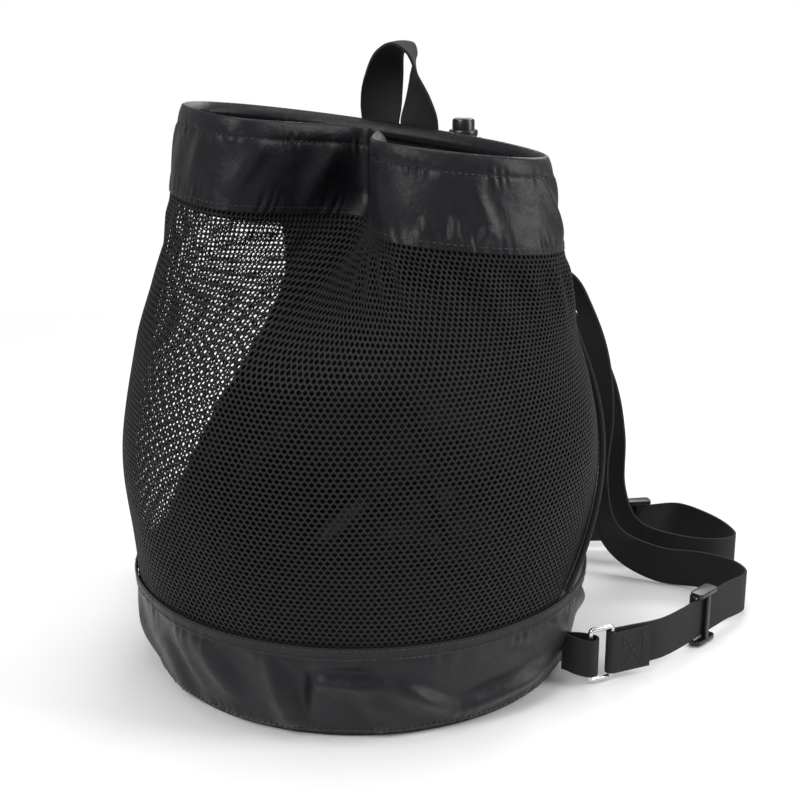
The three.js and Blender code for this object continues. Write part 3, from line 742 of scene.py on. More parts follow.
class BallBagSettings(bpy.types.PropertyGroup):
    cell_pitch: bpy.props.FloatProperty(name="Net cell", description="Width of one net cell",
        default=3.6 * MM, unit="LENGTH")
    strand_width: bpy.props.FloatProperty(name="Net strand",
        description="Width of the yarn between two cells", default=1.0 * MM, unit="LENGTH")
    web_width: bpy.props.FloatProperty(name="Webbing width",
        description="Width of the straps and the haul loop", default=25 * MM, unit="LENGTH")
    satin_colour: bpy.props.FloatVectorProperty(name="Satin", description="Colour of the solid cloth",
        subtype="COLOR", default=(0.0066, 0.007, 0.0088))
    net_colour: bpy.props.FloatVectorProperty(name="Net", description="Colour of the net's yarn",
        subtype="COLOR", default=(0.012, 0.012, 0.0132))
    webbing_colour: bpy.props.FloatVectorProperty(name="Webbing",
        description="Colour of webbing, tape and cord", subtype="COLOR", default=(0.007, 0.007, 0.008))
    plastic_colour: bpy.props.FloatVectorProperty(name="Plastic",
        description="Colour of the sliders and the cord lock", subtype="COLOR",
        default=(0.006, 0.006, 0.007))
    nickel_colour: bpy.props.FloatVectorProperty(name="Nickel",
        description="Colour of the rings and eyelets", subtype="COLOR", default=(0.62, 0.62, 0.64))
    view_turn: bpy.props.FloatProperty(name="View turn", description="Camera's turn round the bag",
        subtype="ANGLE", default=math.radians(30))
    view_distance: bpy.props.FloatProperty(name="View distance",
        description="Camera's distance from the bag's axis", default=0.75, unit="LENGTH")
    view_height: bpy.props.FloatProperty(name="View height", description="Camera's height",
        default=0.367, unit="LENGTH")
    view_lens: bpy.props.FloatProperty(name="Lens", description="Focal length in millimetres",
        default=60.7)


def material(name):
    """The material of that name, made on first use."""
    if name in bpy.data.materials:
        return bpy.data.materials[name]
    settings = bpy.context.scene.ball_bag
    makers = {"satin_nylon": satin_material, "net_yarn": net_material,
        "webbing": lambda s: webbing_material("webbing", s),
        "binding_tape": lambda s: webbing_material("binding_tape", s, 480.0),
        "braided_cord": cord_material, "sewing_thread": thread_material,
        "black_acetal": plastic_material, "nickel_plate": lambda s: nickel_material("nickel_plate", s),
        "spring_wire": lambda s: nickel_material("spring_wire", s)}
    return makers[name](settings)


# ---------------------------------------------------------------------------
# The pieces
# ---------------------------------------------------------------------------


class BALLBAG_OT_base(bpy.types.Operator):
    """Base disc and the binding inside its seam."""

    bl_idname = "ballbag.base"
    bl_label = "Base"

    def execute(self, context):
        low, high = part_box("base_disc")
        radius = high[0] / MM - 0.4
        top = high[2] / MM
        rim = 0.6
        profile = [(0, 0), (radius - rim, 0), (radius, rim), (radius, top - rim), (radius - rim, top),
            (0, top)]
        bm = lathe(profile, 160)
        lay_uv(bm, 1, 1)
        disc = piece("base_cloth", bm, material("satin_nylon"), "bag")
        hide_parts("base_disc")
        low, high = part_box("base_binding")
        binding = tape_band(low[2] / MM, high[2] / MM, -2.9)
        tape = piece("base_tape", binding, material("binding_tape"), "bag", 0.9 * MM)
        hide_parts("base_binding")
        return {"FINISHED"}


def boot_profile(t):
    """The boot's section: a rolled foot, then the wall."""
    rise = BOOT_HEIGHT * np.clip(t, 0, 1)
    foot = 1 - smoothstep(rise, 0, 9)
    return -3.2 * foot**2, 0.55 + rise * (BOOT_HEIGHT - 0.55) / BOOT_HEIGHT


class BALLBAG_OT_boot(bpy.types.Operator):
    """Boot band, its binding and their stitching."""

    bl_idname = "ballbag.boot"
    bl_label = "Boot"

    def execute(self, context):
        cloth = band(760, 56, boot_profile, boot_relief)
        boot = piece("boot_cloth", cloth, material("satin_nylon"), "bag", CLOTH * MM)
        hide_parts("boot_band")

        low = BOOT_HEIGHT - 3
        top = BOOT_HEIGHT + 4.5
        tape = tape_band(low, top, WALL_HALF + 0.8, boot_relief)
        binding = piece("boot_tape", tape, material("satin_nylon"), "bag", 0.8 * MM)
        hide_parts("boot_binding")

        bm = bmesh.new()
        shares = np.linspace(0, 1, 700)
        for height in (low + 1.2, top - 1.4):
            level = np.full_like(shares, height)
            stitch_line(bm, wall_line(shares, level, WALL_HALF + 1.25, boot_relief))
        level = np.full_like(shares, 5.0)
        stitch_line(bm, wall_line(shares, level, 0.1, boot_relief))
        piece("boot_stitches", bm, material("sewing_thread"), "bag")
        return {"FINISHED"}


class BALLBAG_OT_net(bpy.types.Operator):
    """The net wall: hexagonal cells of yarn, in four parts of one net."""

    bl_idname = "ballbag.net"
    bl_label = "Net"

    def execute(self, context):
        settings = context.scene.ball_bag
        pitch = settings.cell_pitch / MM
        column = pitch / 2
        row = pitch * CELL_ROW_SHARE
        foot = BOOT_HEIGHT - 3
        top = NECK_HEIGHT + 5
        left_share = PANEL_HALF_SHARE - 0.008
        girth = TAU * BELLY_RADIUS
        width = (1 - 2 * left_share) * girth
        columns = 2 * int(width / pitch)
        rows = int((top - foot) / row)
        net = self.honeycomb(columns, rows)

        def share_of(x):
            return left_share + (1 - 2 * left_share) * x / columns

        def height_of(y):
            return foot + (top - foot) * y / rows

        def inside(centre):
            share = share_of(centre.x)
            edge = panel_edge(height_of(centre.y)) - NET_UNDERLAP / girth
            return edge < share < 1 - edge

        bmesh.ops.delete(net, geom=[f for f in net.faces if not inside(f.calc_center_median())],
            context="FACES")
        parts = NET_PARTS
        made = []
        for part in range(parts):
            gore = net.copy()
            low, high = part * columns / parts, (part + 1) * columns / parts
            outside = [f for f in gore.faces if not low <= f.calc_center_median().x < high]
            bmesh.ops.delete(gore, geom=outside, context="FACES")
            bmesh.ops.transform(gore, matrix=Matrix.Diagonal((column, row, 1, 1)), verts=gore.verts)
            cells = list(gore.faces)
            bmesh.ops.inset_individual(gore, faces=cells, thickness=settings.strand_width / MM / 2,
                use_even_offset=True)
            bmesh.ops.delete(gore, geom=cells, context="FACES_ONLY")
            lay_uv(gore, MM, MM)

            def where(x, y):
                height = height_of(y / row)
                share = share_of(x / column)
                return wall_points(share, height, net_relief(share, height))

            place_vertices(gore, where)
            name = f"net_part_{part + 1}"
            made.append(piece(name, gore, material("net_yarn"), "bag", 0.6 * MM, sharp=180))
        net.free()
        part_share = (1 - 2 * left_share) / parts
        for i, obj in enumerate(made):
            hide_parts("mesh_wall")
            low = left_share + part_share * i
        return {"FINISHED"}

    def pattern_area(self, low, high, foot, top):
        """Flat area in square metres of the net between two shares, less the back panel."""
        heights = np.linspace(foot, top, 400)
        edge = panel_edge(heights)
        width = np.clip(np.minimum(high, 1 - edge) - np.maximum(low, edge), 0, None)
        return float(width.mean() * TAU * BELLY_RADIUS * (top - foot) * MM * MM)

    def honeycomb(self, columns, rows):
        """Hexagons from a grid: every other upright edge goes, and the points shift up and down."""
        bm = bmesh.new()
        bmesh.ops.create_grid(bm, x_segments=columns, y_segments=rows, size=1)
        bmesh.ops.transform(bm, matrix=Matrix.Diagonal((columns / 2, rows / 2, 1, 1)), verts=bm.verts)
        bmesh.ops.translate(bm, vec=(columns / 2, rows / 2, 0), verts=bm.verts)
        spare = []
        for edge in bm.edges:
            a, b = edge.verts[0].co, edge.verts[1].co
            upright = abs(a.x - b.x) < 0.5
            if upright and edge.is_manifold and (round(a.x) + round(min(a.y, b.y))) % 2:
                spare.append(edge)
        bmesh.ops.dissolve_edges(bm, edges=spare, use_verts=False)
        for vert in bm.verts:
            even = (round(vert.co.x) + round(vert.co.y)) % 2 == 0
            vert.co.y += CELL_SHIFT if even else -CELL_SHIFT
        return bm


class BALLBAG_OT_back_panel(bpy.types.Operator):
    """Solid back panel, its edge pipings and stitching."""

    bl_idname = "ballbag.back_panel"
    bl_label = "Back panel"

    def execute(self, context):
        low = BOOT_HEIGHT - 2
        high = NECK_HEIGHT + 2
        bm = lattice(200, 200, 0.3, (high - low) * MM)

        def where(x, y):
            height = low + (high - low) * y
            half = panel_edge(height) + 2.2 / GIRTH
            share = half * (2 * x - 1)
            return wall_points(share, height, 0.6 + panel_relief(share, height))

        place_vertices(bm, where)
        bmesh.ops.recalc_face_normals(bm, faces=bm.faces)
        panel = piece("back_cloth", bm, material("satin_nylon"), "bag", CLOTH * MM)
        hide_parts("back_panel")

        stitches = bmesh.new()
        heights = np.linspace(BOOT_HEIGHT + 8, NECK_HEIGHT - 5, 160)
        for side, sign in (("right", 1), ("left", -1)):
            edge = sign * panel_edge(heights)
            points = wall_points(edge, heights, WALL_HALF + 2.3)
            piping = tube(points, 1.7 * MM, 14)
            cord = piece(f"piping_{side}", piping, material("binding_tape"), "bag")
            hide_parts(f"side_piping_{side}")
            seam = edge - sign * 4.2 / GIRTH
            stitch_line(stitches, wall_points(seam, heights, 1.2 + panel_relief(seam, heights)))
        piece("panel_stitches", stitches, material("sewing_thread"), "bag")
        return {"FINISHED"}


HEM_PROFILE = ((0.3, 0), (0.5, 5), (0.7, 20), (0.8, 33), (0.7, 36.5), (0.35, 38.4), (0.9, 40.4),
    (1.0, 43.5), (0.5, 46.6), (0.1, 47.7), (-0.6, 48), (-1.3, 47.5), (-3.6, 45.4), (-5.3, 42.4),
    (-4.3, 39.9), (-1.6, 38.2), (-1.1, 36.2), (-1.2, 27.5))

def hem_profile(t):
    """The collar's section: up the outer face, over the top edge and down round the drawcord."""
    points = np.array(HEM_PROFILE, dtype=float)
    steps = np.concatenate(([0], np.cumsum(np.hypot(*np.diff(points, axis=0).T))))
    at = t * steps[-1]
    offset = smooth_through(np.stack((steps, points[:, 0]), axis=1), at)
    height = smooth_through(np.stack((steps, points[:, 1]), axis=1), at)
    return offset, NECK_HEIGHT + height


class BALLBAG_OT_collar(bpy.types.Operator):
    """Folded collar, the tape inside its seam and its two rows of stitching."""

    bl_idname = "ballbag.collar"
    bl_label = "Collar"

    def execute(self, context):
        cloth = band(760, 96, hem_profile, collar_relief)
        collar = piece("collar_cloth", cloth, material("satin_nylon"), "bag", CLOTH * MM)
        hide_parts("collar_band")
        tape = tape_band(NECK_HEIGHT - 4.5, NECK_HEIGHT + 4.5, -2.2)
        inside = piece("collar_tape", tape, material("binding_tape"), "bag", 0.8 * MM)
        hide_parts("collar_seam_tape")

        bm = bmesh.new()
        shares = np.linspace(0, 1, 900)
        for height, lift in ((NECK_HEIGHT + 3, 0.95), (MOUTH_HEIGHT - 9.6, 0.95)):
            level = np.full_like(shares, float(height))
            stitch_line(bm, wall_line(shares, level, lift, collar_relief))
        piece("collar_stitches", bm, material("sewing_thread"), "bag")
        return {"FINISHED"}


# the drawcord: sizes and places as the frame has them, in millimetres
CORD_RADIUS = 1.7
CORD_SPACING = 6.4
LOCK_OFFSET = 27.5
CORD_HEIGHT = MOUTH_HEIGHT - 1.6 - 3 - 1.2
CHANNEL_MIDDLE = -WALL_HALF - 1.8
TAIL_STRAIGHT = 28.5
TAIL_BEND = 8
TAIL_DROP = 42


def cord_exit(side):
    share = (LOCK_OFFSET + side * CORD_SPACING / 2) / MOUTH_LENGTH
    return share, Vector(wall_points(share, CORD_HEIGHT, 0))


class BALLBAG_OT_drawcord(bpy.types.Operator):
    """Drawcord in the hem, its two tails, the knot and the eyelets."""

    bl_idname = "ballbag.drawcord"
    bl_label = "Drawcord"

    def execute(self, context):
        cord = material("braided_cord")
        left_share, right_share = cord_exit(-1)[0], cord_exit(1)[0]
        clear = 2 * CORD_RADIUS / MOUTH_LENGTH
        shares = np.linspace(right_share + clear, 1 + left_share - clear, 420)
        round_points = wall_points(shares, CORD_HEIGHT, CHANNEL_MIDDLE)
        hem = piece("hem_cord", tube(round_points, CORD_RADIUS * MM, 12), cord, "bag")
        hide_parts("drawcord")

        low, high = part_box("cord_knot")
        knot_centre = (Vector(low) + Vector(high)) / 2
        knot = self.knot(knot_centre, Vector(high) - Vector(low), cord)
        for side, name in ((-1, "left"), (1, "right")):
            self.tail(side, name, knot_centre, high[2], cord, knot)
            self.eyelet(side, name)
        return {"FINISHED"}

    def tail(self, side, name, knot_centre, knot_top, cord, knot):
        eye = cord_exit(side)[1]

        def at(x, y, z):
            return eye + Vector((x, y, z)) * MM

        points = [at(0, -WALL_HALF - 1.1, 0), at(0, TAIL_STRAIGHT / 2, 0), at(0, TAIL_STRAIGHT - 4, 0),
            at(0, TAIL_STRAIGHT, 0), at(0, TAIL_STRAIGHT + TAIL_BEND * 0.71, -TAIL_BEND * 0.29),
            at(0, TAIL_STRAIGHT + TAIL_BEND, -TAIL_BEND),
            at(-side * 0.6, TAIL_STRAIGHT + TAIL_BEND, -TAIL_BEND - TAIL_DROP * 0.5),
            Vector((knot_centre.x + side * 1.9 * MM, knot_centre.y, knot_top - 0.6 * MM))]
        path = [curve_point(points, i / 90) for i in range(91)]
        tail = piece(f"tail_{name}", tube(path, CORD_RADIUS * MM, 14), cord, "bag")
        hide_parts(f"cord_tail_{name}")

    def knot(self, centre, size, cord):
        """An overhand knot of both tails: a fat trefoil of cord with two short ends below."""
        points = []
        for i in range(72):
            a = i / 72 * TAU
            x = math.sin(a) + 2 * math.sin(2 * a)
            y = -math.sin(3 * a)
            z = math.cos(a) - 2 * math.cos(2 * a)
            points.append(centre + Vector((x * size.x * 0.115, y * size.y * 0.2, z * size.z * 0.13)))
        ball = tube(points, CORD_RADIUS * MM * 0.95, 12, closed=True)
        ends = []
        for side in (-1, 1):
            start = centre + Vector((side * 1.5 * MM, 0, -size.z * 0.3))
            tip = start + Vector((side * 1.4 * MM, 0.3 * MM, -4.2 * MM))
            ends.append(tube([start.lerp(tip, t) for t in (0, 0.33, 0.66, 1)], CORD_RADIUS * MM * 0.95,
                12))
        knot = piece("tail_knot", merge(ball, *ends), cord, "bag")
        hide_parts("cord_knot")
        return knot

    def eyelet(self, side, name):
        eye = cord_exit(side)[1]
        hole = 2.1
        flange = CORD_SPACING / 2 - 0.18
        profile = [(hole, -1.3), (hole + 0.5, -1.3), (hole + 0.55, 1.4), (flange, 1.3),
            (flange + 0.05, 1.9), (flange - 0.4, 2.4), (hole + 0.3, 2.5), (hole, 2.2)]
        bm = lathe(profile, 32)
        turn = Matrix.Translation(eye) @ Matrix.Rotation(-math.pi / 2, 4, "X")
        bmesh.ops.transform(bm, matrix=turn, verts=bm.verts)
        grommet = piece(f"grommet_{name}", bm, material("nickel_plate"), "bag")
        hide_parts(f"eyelet_{name}")


class BALLBAG_OT_cord_lock(bpy.types.Operator):
    """Spring cord lock: barrel, button and spring."""

    bl_idname = "ballbag.cord_lock"
    bl_label = "Cord lock"

    def execute(self, context):
        low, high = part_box("cord_lock_barrel")
        low, high = Vector(low), Vector(high)
        centre = (low + high) / 2
        foot = low.z / MM
        top = high.z / MM
        outer = (high.x - low.x) / 2 / MM
        bore = outer - 1.6
        hole_height = cord_exit(-1)[1].lerp(cord_exit(1)[1], 0.5).z
        axis = Vector((centre.x, centre.y, 0))
        plastic = material("black_acetal")

        profile = [(0, foot), (outer - 2.2, foot), (outer - 0.8, foot + 0.4), (outer - 0.1, foot + 1.6),
            (outer, foot + 4), (outer - 0.5, foot + 6), (outer - 0.5, top - 4), (outer, top - 3),
            (outer, top - 0.9), (outer - 0.5, top - 0.1), (bore + 0.4, top), (bore, top - 0.4),
            (bore, foot + 1.8), (0, foot + 1.8)]
        barrel = piece("lock_barrel", self.turned(profile, axis), plastic, "cord_lock")
        cut_with(barrel, self.cross_hole(axis, hole_height, 2.15, 0))
        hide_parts("cord_lock_barrel")

        low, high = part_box("cord_lock_button")
        radius = (high[0] - low[0]) / 2 / MM
        foot, top = low[2] / MM, high[2] / MM
        profile = [(0, foot), (radius, foot), (radius, top - 1.6), (radius - 0.5, top - 0.5),
            (radius - 1.6, top), (radius * 0.5, top - 0.35), (0, top - 0.45)]
        button = piece("lock_button", self.turned(profile, axis), plastic, "lock_button")
        cut_with(button, self.cross_hole(axis, hole_height, 2.35, 3.5))
        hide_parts("cord_lock_button")

        low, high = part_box("cord_lock_spring")
        wire = 0.4 * MM
        radius = (high[0] - low[0]) / 2 - wire
        turns = 3.5
        points = []
        for i in range(int(turns * 28) + 1):
            a = i / 28 * TAU
            rise = low[2] + wire + (high[2] - low[2] - 2 * wire) * i / (turns * 28)
            points.append(axis + Vector((radius * math.cos(a), radius * math.sin(a), rise)))
        spring = piece("lock_spring", tube(points, wire, 8), material("spring_wire"),
            "cord_lock")
        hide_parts("cord_lock_spring")
        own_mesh(spring)
        return {"FINISHED"}

    def turned(self, profile, axis):
        bm = lathe(profile, 56)
        bmesh.ops.translate(bm, vec=axis, verts=bm.verts)
        return bm

    def cross_hole(self, axis, height, half, extra):
        """A slot through the lock for both cords, with its ends rounded."""
        width = (CORD_SPACING + 2 * half) * MM
        rise = (2 * half + extra) * MM
        bm = bmesh.new()
        middle = Vector((axis.x, axis.y, height + extra / 2 * MM))
        cube(bm, middle, (width, 0.04, rise))
        edges = [e for e in bm.edges if abs((e.verts[0].co - e.verts[1].co).y) > 0.01]
        bmesh.ops.bevel(bm, geom=edges, offset=1.1 * MM, affect="EDGES", segments=4, profile=0.5,
            material=-1)
        return bm


LOOP_OFFSET = -10
LOOP_FEET = 26
LOOP_HEIGHT = 45
PATCH_INNER = WALL_HALF + 0.9
PATCH_THICKNESS = 2.2


def patch_sheet(half_width, bottom, top, middle=0.0):
    """A small sewn patch: its edges dip to the cloth below and its middle stands proud."""
    bm = lattice(48, 30, 2 * half_width * MM, (top - bottom) * MM)

    def where(x, y):
        share = (middle + half_width * (2 * x - 1)) / MOUTH_LENGTH
        height = bottom + (top - bottom) * y
        edge = np.minimum(np.minimum(x, 1 - x) * 2 * half_width, np.minimum(y, 1 - y) * (top - bottom))
        swell = smoothstep(edge, 0, 2.2)
        pinch = np.exp(-(((edge - 3) / 0.9) ** 2))
        offset = PATCH_INNER + 0.35 + PATCH_THICKNESS * (0.2 + 0.55 * swell) - 0.35 * pinch
        return wall_points(share, height, offset)

    place_vertices(bm, where)
    bmesh.ops.recalc_face_normals(bm, faces=bm.faces)
    return bm


def patch_stitches(bm, half_width, bottom, top, middle=0.0, cross=True):
    """A rectangle of stitches 3 mm in from a patch's edge, and a cross inside it."""
    inset = 3

    def at(x, z, lift=1.9):
        share = (middle + x) / MOUTH_LENGTH
        return wall_points(share, z, PATCH_INNER + lift)

    half = half_width - inset
    corners = ((-half, bottom + inset), (half, bottom + inset), (half, top - inset),
        (-half, top - inset))
    lines = [(corners[i], corners[(i + 1) % 4], 1.55) for i in range(4)]
    if cross:
        lines += [(corners[0], corners[2], 2.35), (corners[1], corners[3], 2.35)]
    for (x0, z0), (x1, z1), lift in lines:
        steps = np.linspace(0.02, 0.98, 24)
        points = [at(x0 + (x1 - x0) * t, z0 + (z1 - z0) * t, lift) for t in steps]
        stitch_line(bm, points)


class BALLBAG_OT_haul_loop(bpy.types.Operator):
    """Haul loop of webbing and the patch over its feet."""

    bl_idname = "ballbag.haul_loop"
    bl_label = "Haul loop"

    def execute(self, context):
        width = context.scene.ball_bag.web_width
        half = LOOP_FEET / 2 + width / MM / 2 + 3
        top = MOUTH_HEIGHT - 1.5
        bottom = top - 34
        patch = piece("haul_patch_cloth", patch_sheet(half, bottom, top, LOOP_OFFSET),
            material("satin_nylon"), "bag", 0.8 * MM)
        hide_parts("haul_patch")
        stitches = bmesh.new()
        patch_stitches(stitches, half, bottom, top, LOOP_OFFSET)
        piece("haul_patch_stitches", stitches, material("sewing_thread"), "bag")

        offset = PATCH_INNER + PATCH_THICKNESS / 2
        feet = []
        for side in (-1, 1):
            share = (LOOP_OFFSET + side * LOOP_FEET / 2) / MOUTH_LENGTH
            feet.append(Vector(wall_points(share, MOUTH_HEIGHT, offset)))
        middle = feet[0].lerp(feet[1], 0.5)
        reach = LOOP_FEET / 2
        shape = ((-1, -0.32, 0), (-1, -0.12, 0), (-1, 0.02, 2), (-0.95, 0.25, 24), (-0.8, 0.54, 50),
            (-0.46, 0.88, 76), (0.12, 1, 88), (0.58, 0.88, 106), (0.76, 0.55, 130), (0.94, 0.25, 156),
            (1, 0.02, 178), (1, -0.12, 180), (1, -0.32, 180))
        stations = []
        for x, z, turn in shape:
            at = middle + Vector((x * reach, 0, 1 + z * LOOP_HEIGHT)) * MM
            if z < 0:
                side = -1 if x < 0 else 1
                at.y = feet[0].y if side < 0 else feet[1].y
                at.y -= 0.2 * MM
            angle = math.radians(turn)
            stations.append((at, Vector((math.cos(angle), math.sin(angle), 0))))
        bm = ribbon(stations, 16, width - 0.4 * MM, cup=1.0 * MM, across_cells=12)
        loop = piece("haul_webbing", bm, material("webbing"), None, 1.5 * MM)
        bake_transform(loop)
        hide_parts("haul_loop")
        return {"FINISHED"}


# ---------------------------------------------------------------------------
# Shoulder straps
# ---------------------------------------------------------------------------

WEB_MIDDLE = 13.3
RING_HEIGHT = 17.4
RING_ANGLE = 88
RING_BAR_RADIUS = 144
RING_LENGTH = 31
RING_DEPTH = 14
RING_WIRE = 3
RING_LEAN = math.radians(50)
SEWN_LENGTH = 24
TURN_RADIUS = RING_WIRE / 2 + 0.35 + 0.8
STRAP_SPACING = 30
STRAP_PATCH_TOP = NECK_HEIGHT - 5.5
STRAP_PATCH_FOOT = STRAP_PATCH_TOP - 18
SLIDER_BAR = 3.2
SLIDER_SLOT = 4.6
SLIDER_LENGTH = 30.5

# angle from the back centre, distance outside the belly, height, and how far the ribbon lies flat
ROUTES = {"right": {"down": ((14, -9, 221, 1), (25, -1, 213, 1), (36, 4, 204, 1), (40.5, 9, 190, 1),
    (39, 22, 160, 1), (35, 34, 118, 1), (32, 38, 75, 1), (33, 43, 42, 0.75), (35.5, 55, 22, 0.35),
    (40.5, 72, WEB_MIDDLE, 0.05), (45, 93, WEB_MIDDLE, 0), (49, 106, WEB_MIDDLE, 0),
    (54, 106, WEB_MIDDLE + 1, 0)), "stretch": ((59.6, 85.4), (70.8, 52.5)), "onward": ()},
    "left": {"down": ((-6, -13, 214, 1), (9, -2, 203, 1), (22, 10, 190, 1), (29.5, 24, 172, 1),
    (32, 40, 140, 1), (31, 53, 100, 1), (30, 58, 62, 1), (31, 66, 36, 0.7), (33.5, 78, 20, 0.3),
    (38, 98, WEB_MIDDLE, 0.05), (41, 117, WEB_MIDDLE, 0), (40.5, 130, WEB_MIDDLE, 0),
    (36.5, 137, WEB_MIDDLE, 0), (32, 136, WEB_MIDDLE + 1.5, 0)), "stretch": ((28.1, 127), (21.2, 74)),
    "onward": ((12, 57, WEB_MIDDLE + 1.5, 0), (0, 47, WEB_MIDDLE, 0), (-15, 38, WEB_MIDDLE, 0),
    (-35, 31, WEB_MIDDLE, 0), (-55, 31, WEB_MIDDLE, 0), (-66, 36, WEB_MIDDLE + 1, 0))}}


def polar(angle, radius, height):
    """A point at an angle from the back centre, in metres from sizes in millimetres."""
    a = math.radians(angle)
    return Vector((radius * math.sin(a), radius * math.cos(a), height)) * MM


RingFrame = namedtuple("RingFrame", "outward backward heading beside near_bar far_bar")


def ring_frame(sign):
    """The ring's near and far bars, and the directions beside it."""
    outward = polar(sign * RING_ANGLE, 1, 0).normalized()
    backward = Vector((-outward.y, outward.x, 0)) * sign
    heading = outward * math.cos(RING_LEAN) + backward * math.sin(RING_LEAN)
    beside = UP.cross(heading) * sign
    near_bar = outward * RING_BAR_RADIUS * MM
    near_bar.z = RING_HEIGHT * MM
    far_bar = near_bar + heading * RING_DEPTH * MM
    return RingFrame(outward, backward, heading, beside, near_bar, far_bar)


def stretch_ends(side):
    return [polar(angle, BELLY_RADIUS + clear, RING_HEIGHT) for angle, clear in ROUTES[side]["stretch"]]


def strap_stations(side):
    sign = 1 if side == "right" else -1
    place = ring_frame(sign)
    heading, beside, far_bar = place.heading, place.beside, place.far_bar
    share = sign * STRAP_SPACING / 2 / MOUTH_LENGTH
    flat = Vector((1, 0, 0))
    stations = []
    for height, offset in ((STRAP_PATCH_TOP - 5, 2.4), (STRAP_PATCH_FOOT + 2, 2.5)):
        stations.append((Vector(wall_points(share, height, offset)), flat))
    stations.append((Vector(wall_points(share, STRAP_PATCH_FOOT - 3.2, 3.9)), flat))

    def walk(points):
        for angle, clear, height, lying in points:
            across = polar(angle + 90, 1, 0).normalized() * lying + UP * (1 - lying)
            stations.append((polar(angle, BELLY_RADIUS + clear, height), across))

    def on_turn(angle, ahead=0.0):
        a = math.radians(angle)
        point = far_bar + heading * (ahead - TURN_RADIUS * math.cos(a)) * MM
        return point + beside * TURN_RADIUS * math.sin(a) * MM

    walk(ROUTES[side]["down"])
    start, end = stretch_ends(side)
    for t in (0, 1 / 3, 2 / 3, 1):
        stations.append((start.lerp(end, t), UP))
    walk(ROUTES[side]["onward"])
    stations.append((on_turn(90, SEWN_LENGTH + 10), UP))
    stations.append((on_turn(90, SEWN_LENGTH / 2), UP))
    for angle in (90, 45, 0, -45, -90):
        stations.append((on_turn(angle), UP))
    stations.append((on_turn(-90, SEWN_LENGTH / 2), UP))
    stations.append((on_turn(-90, SEWN_LENGTH), UP))
    return stations


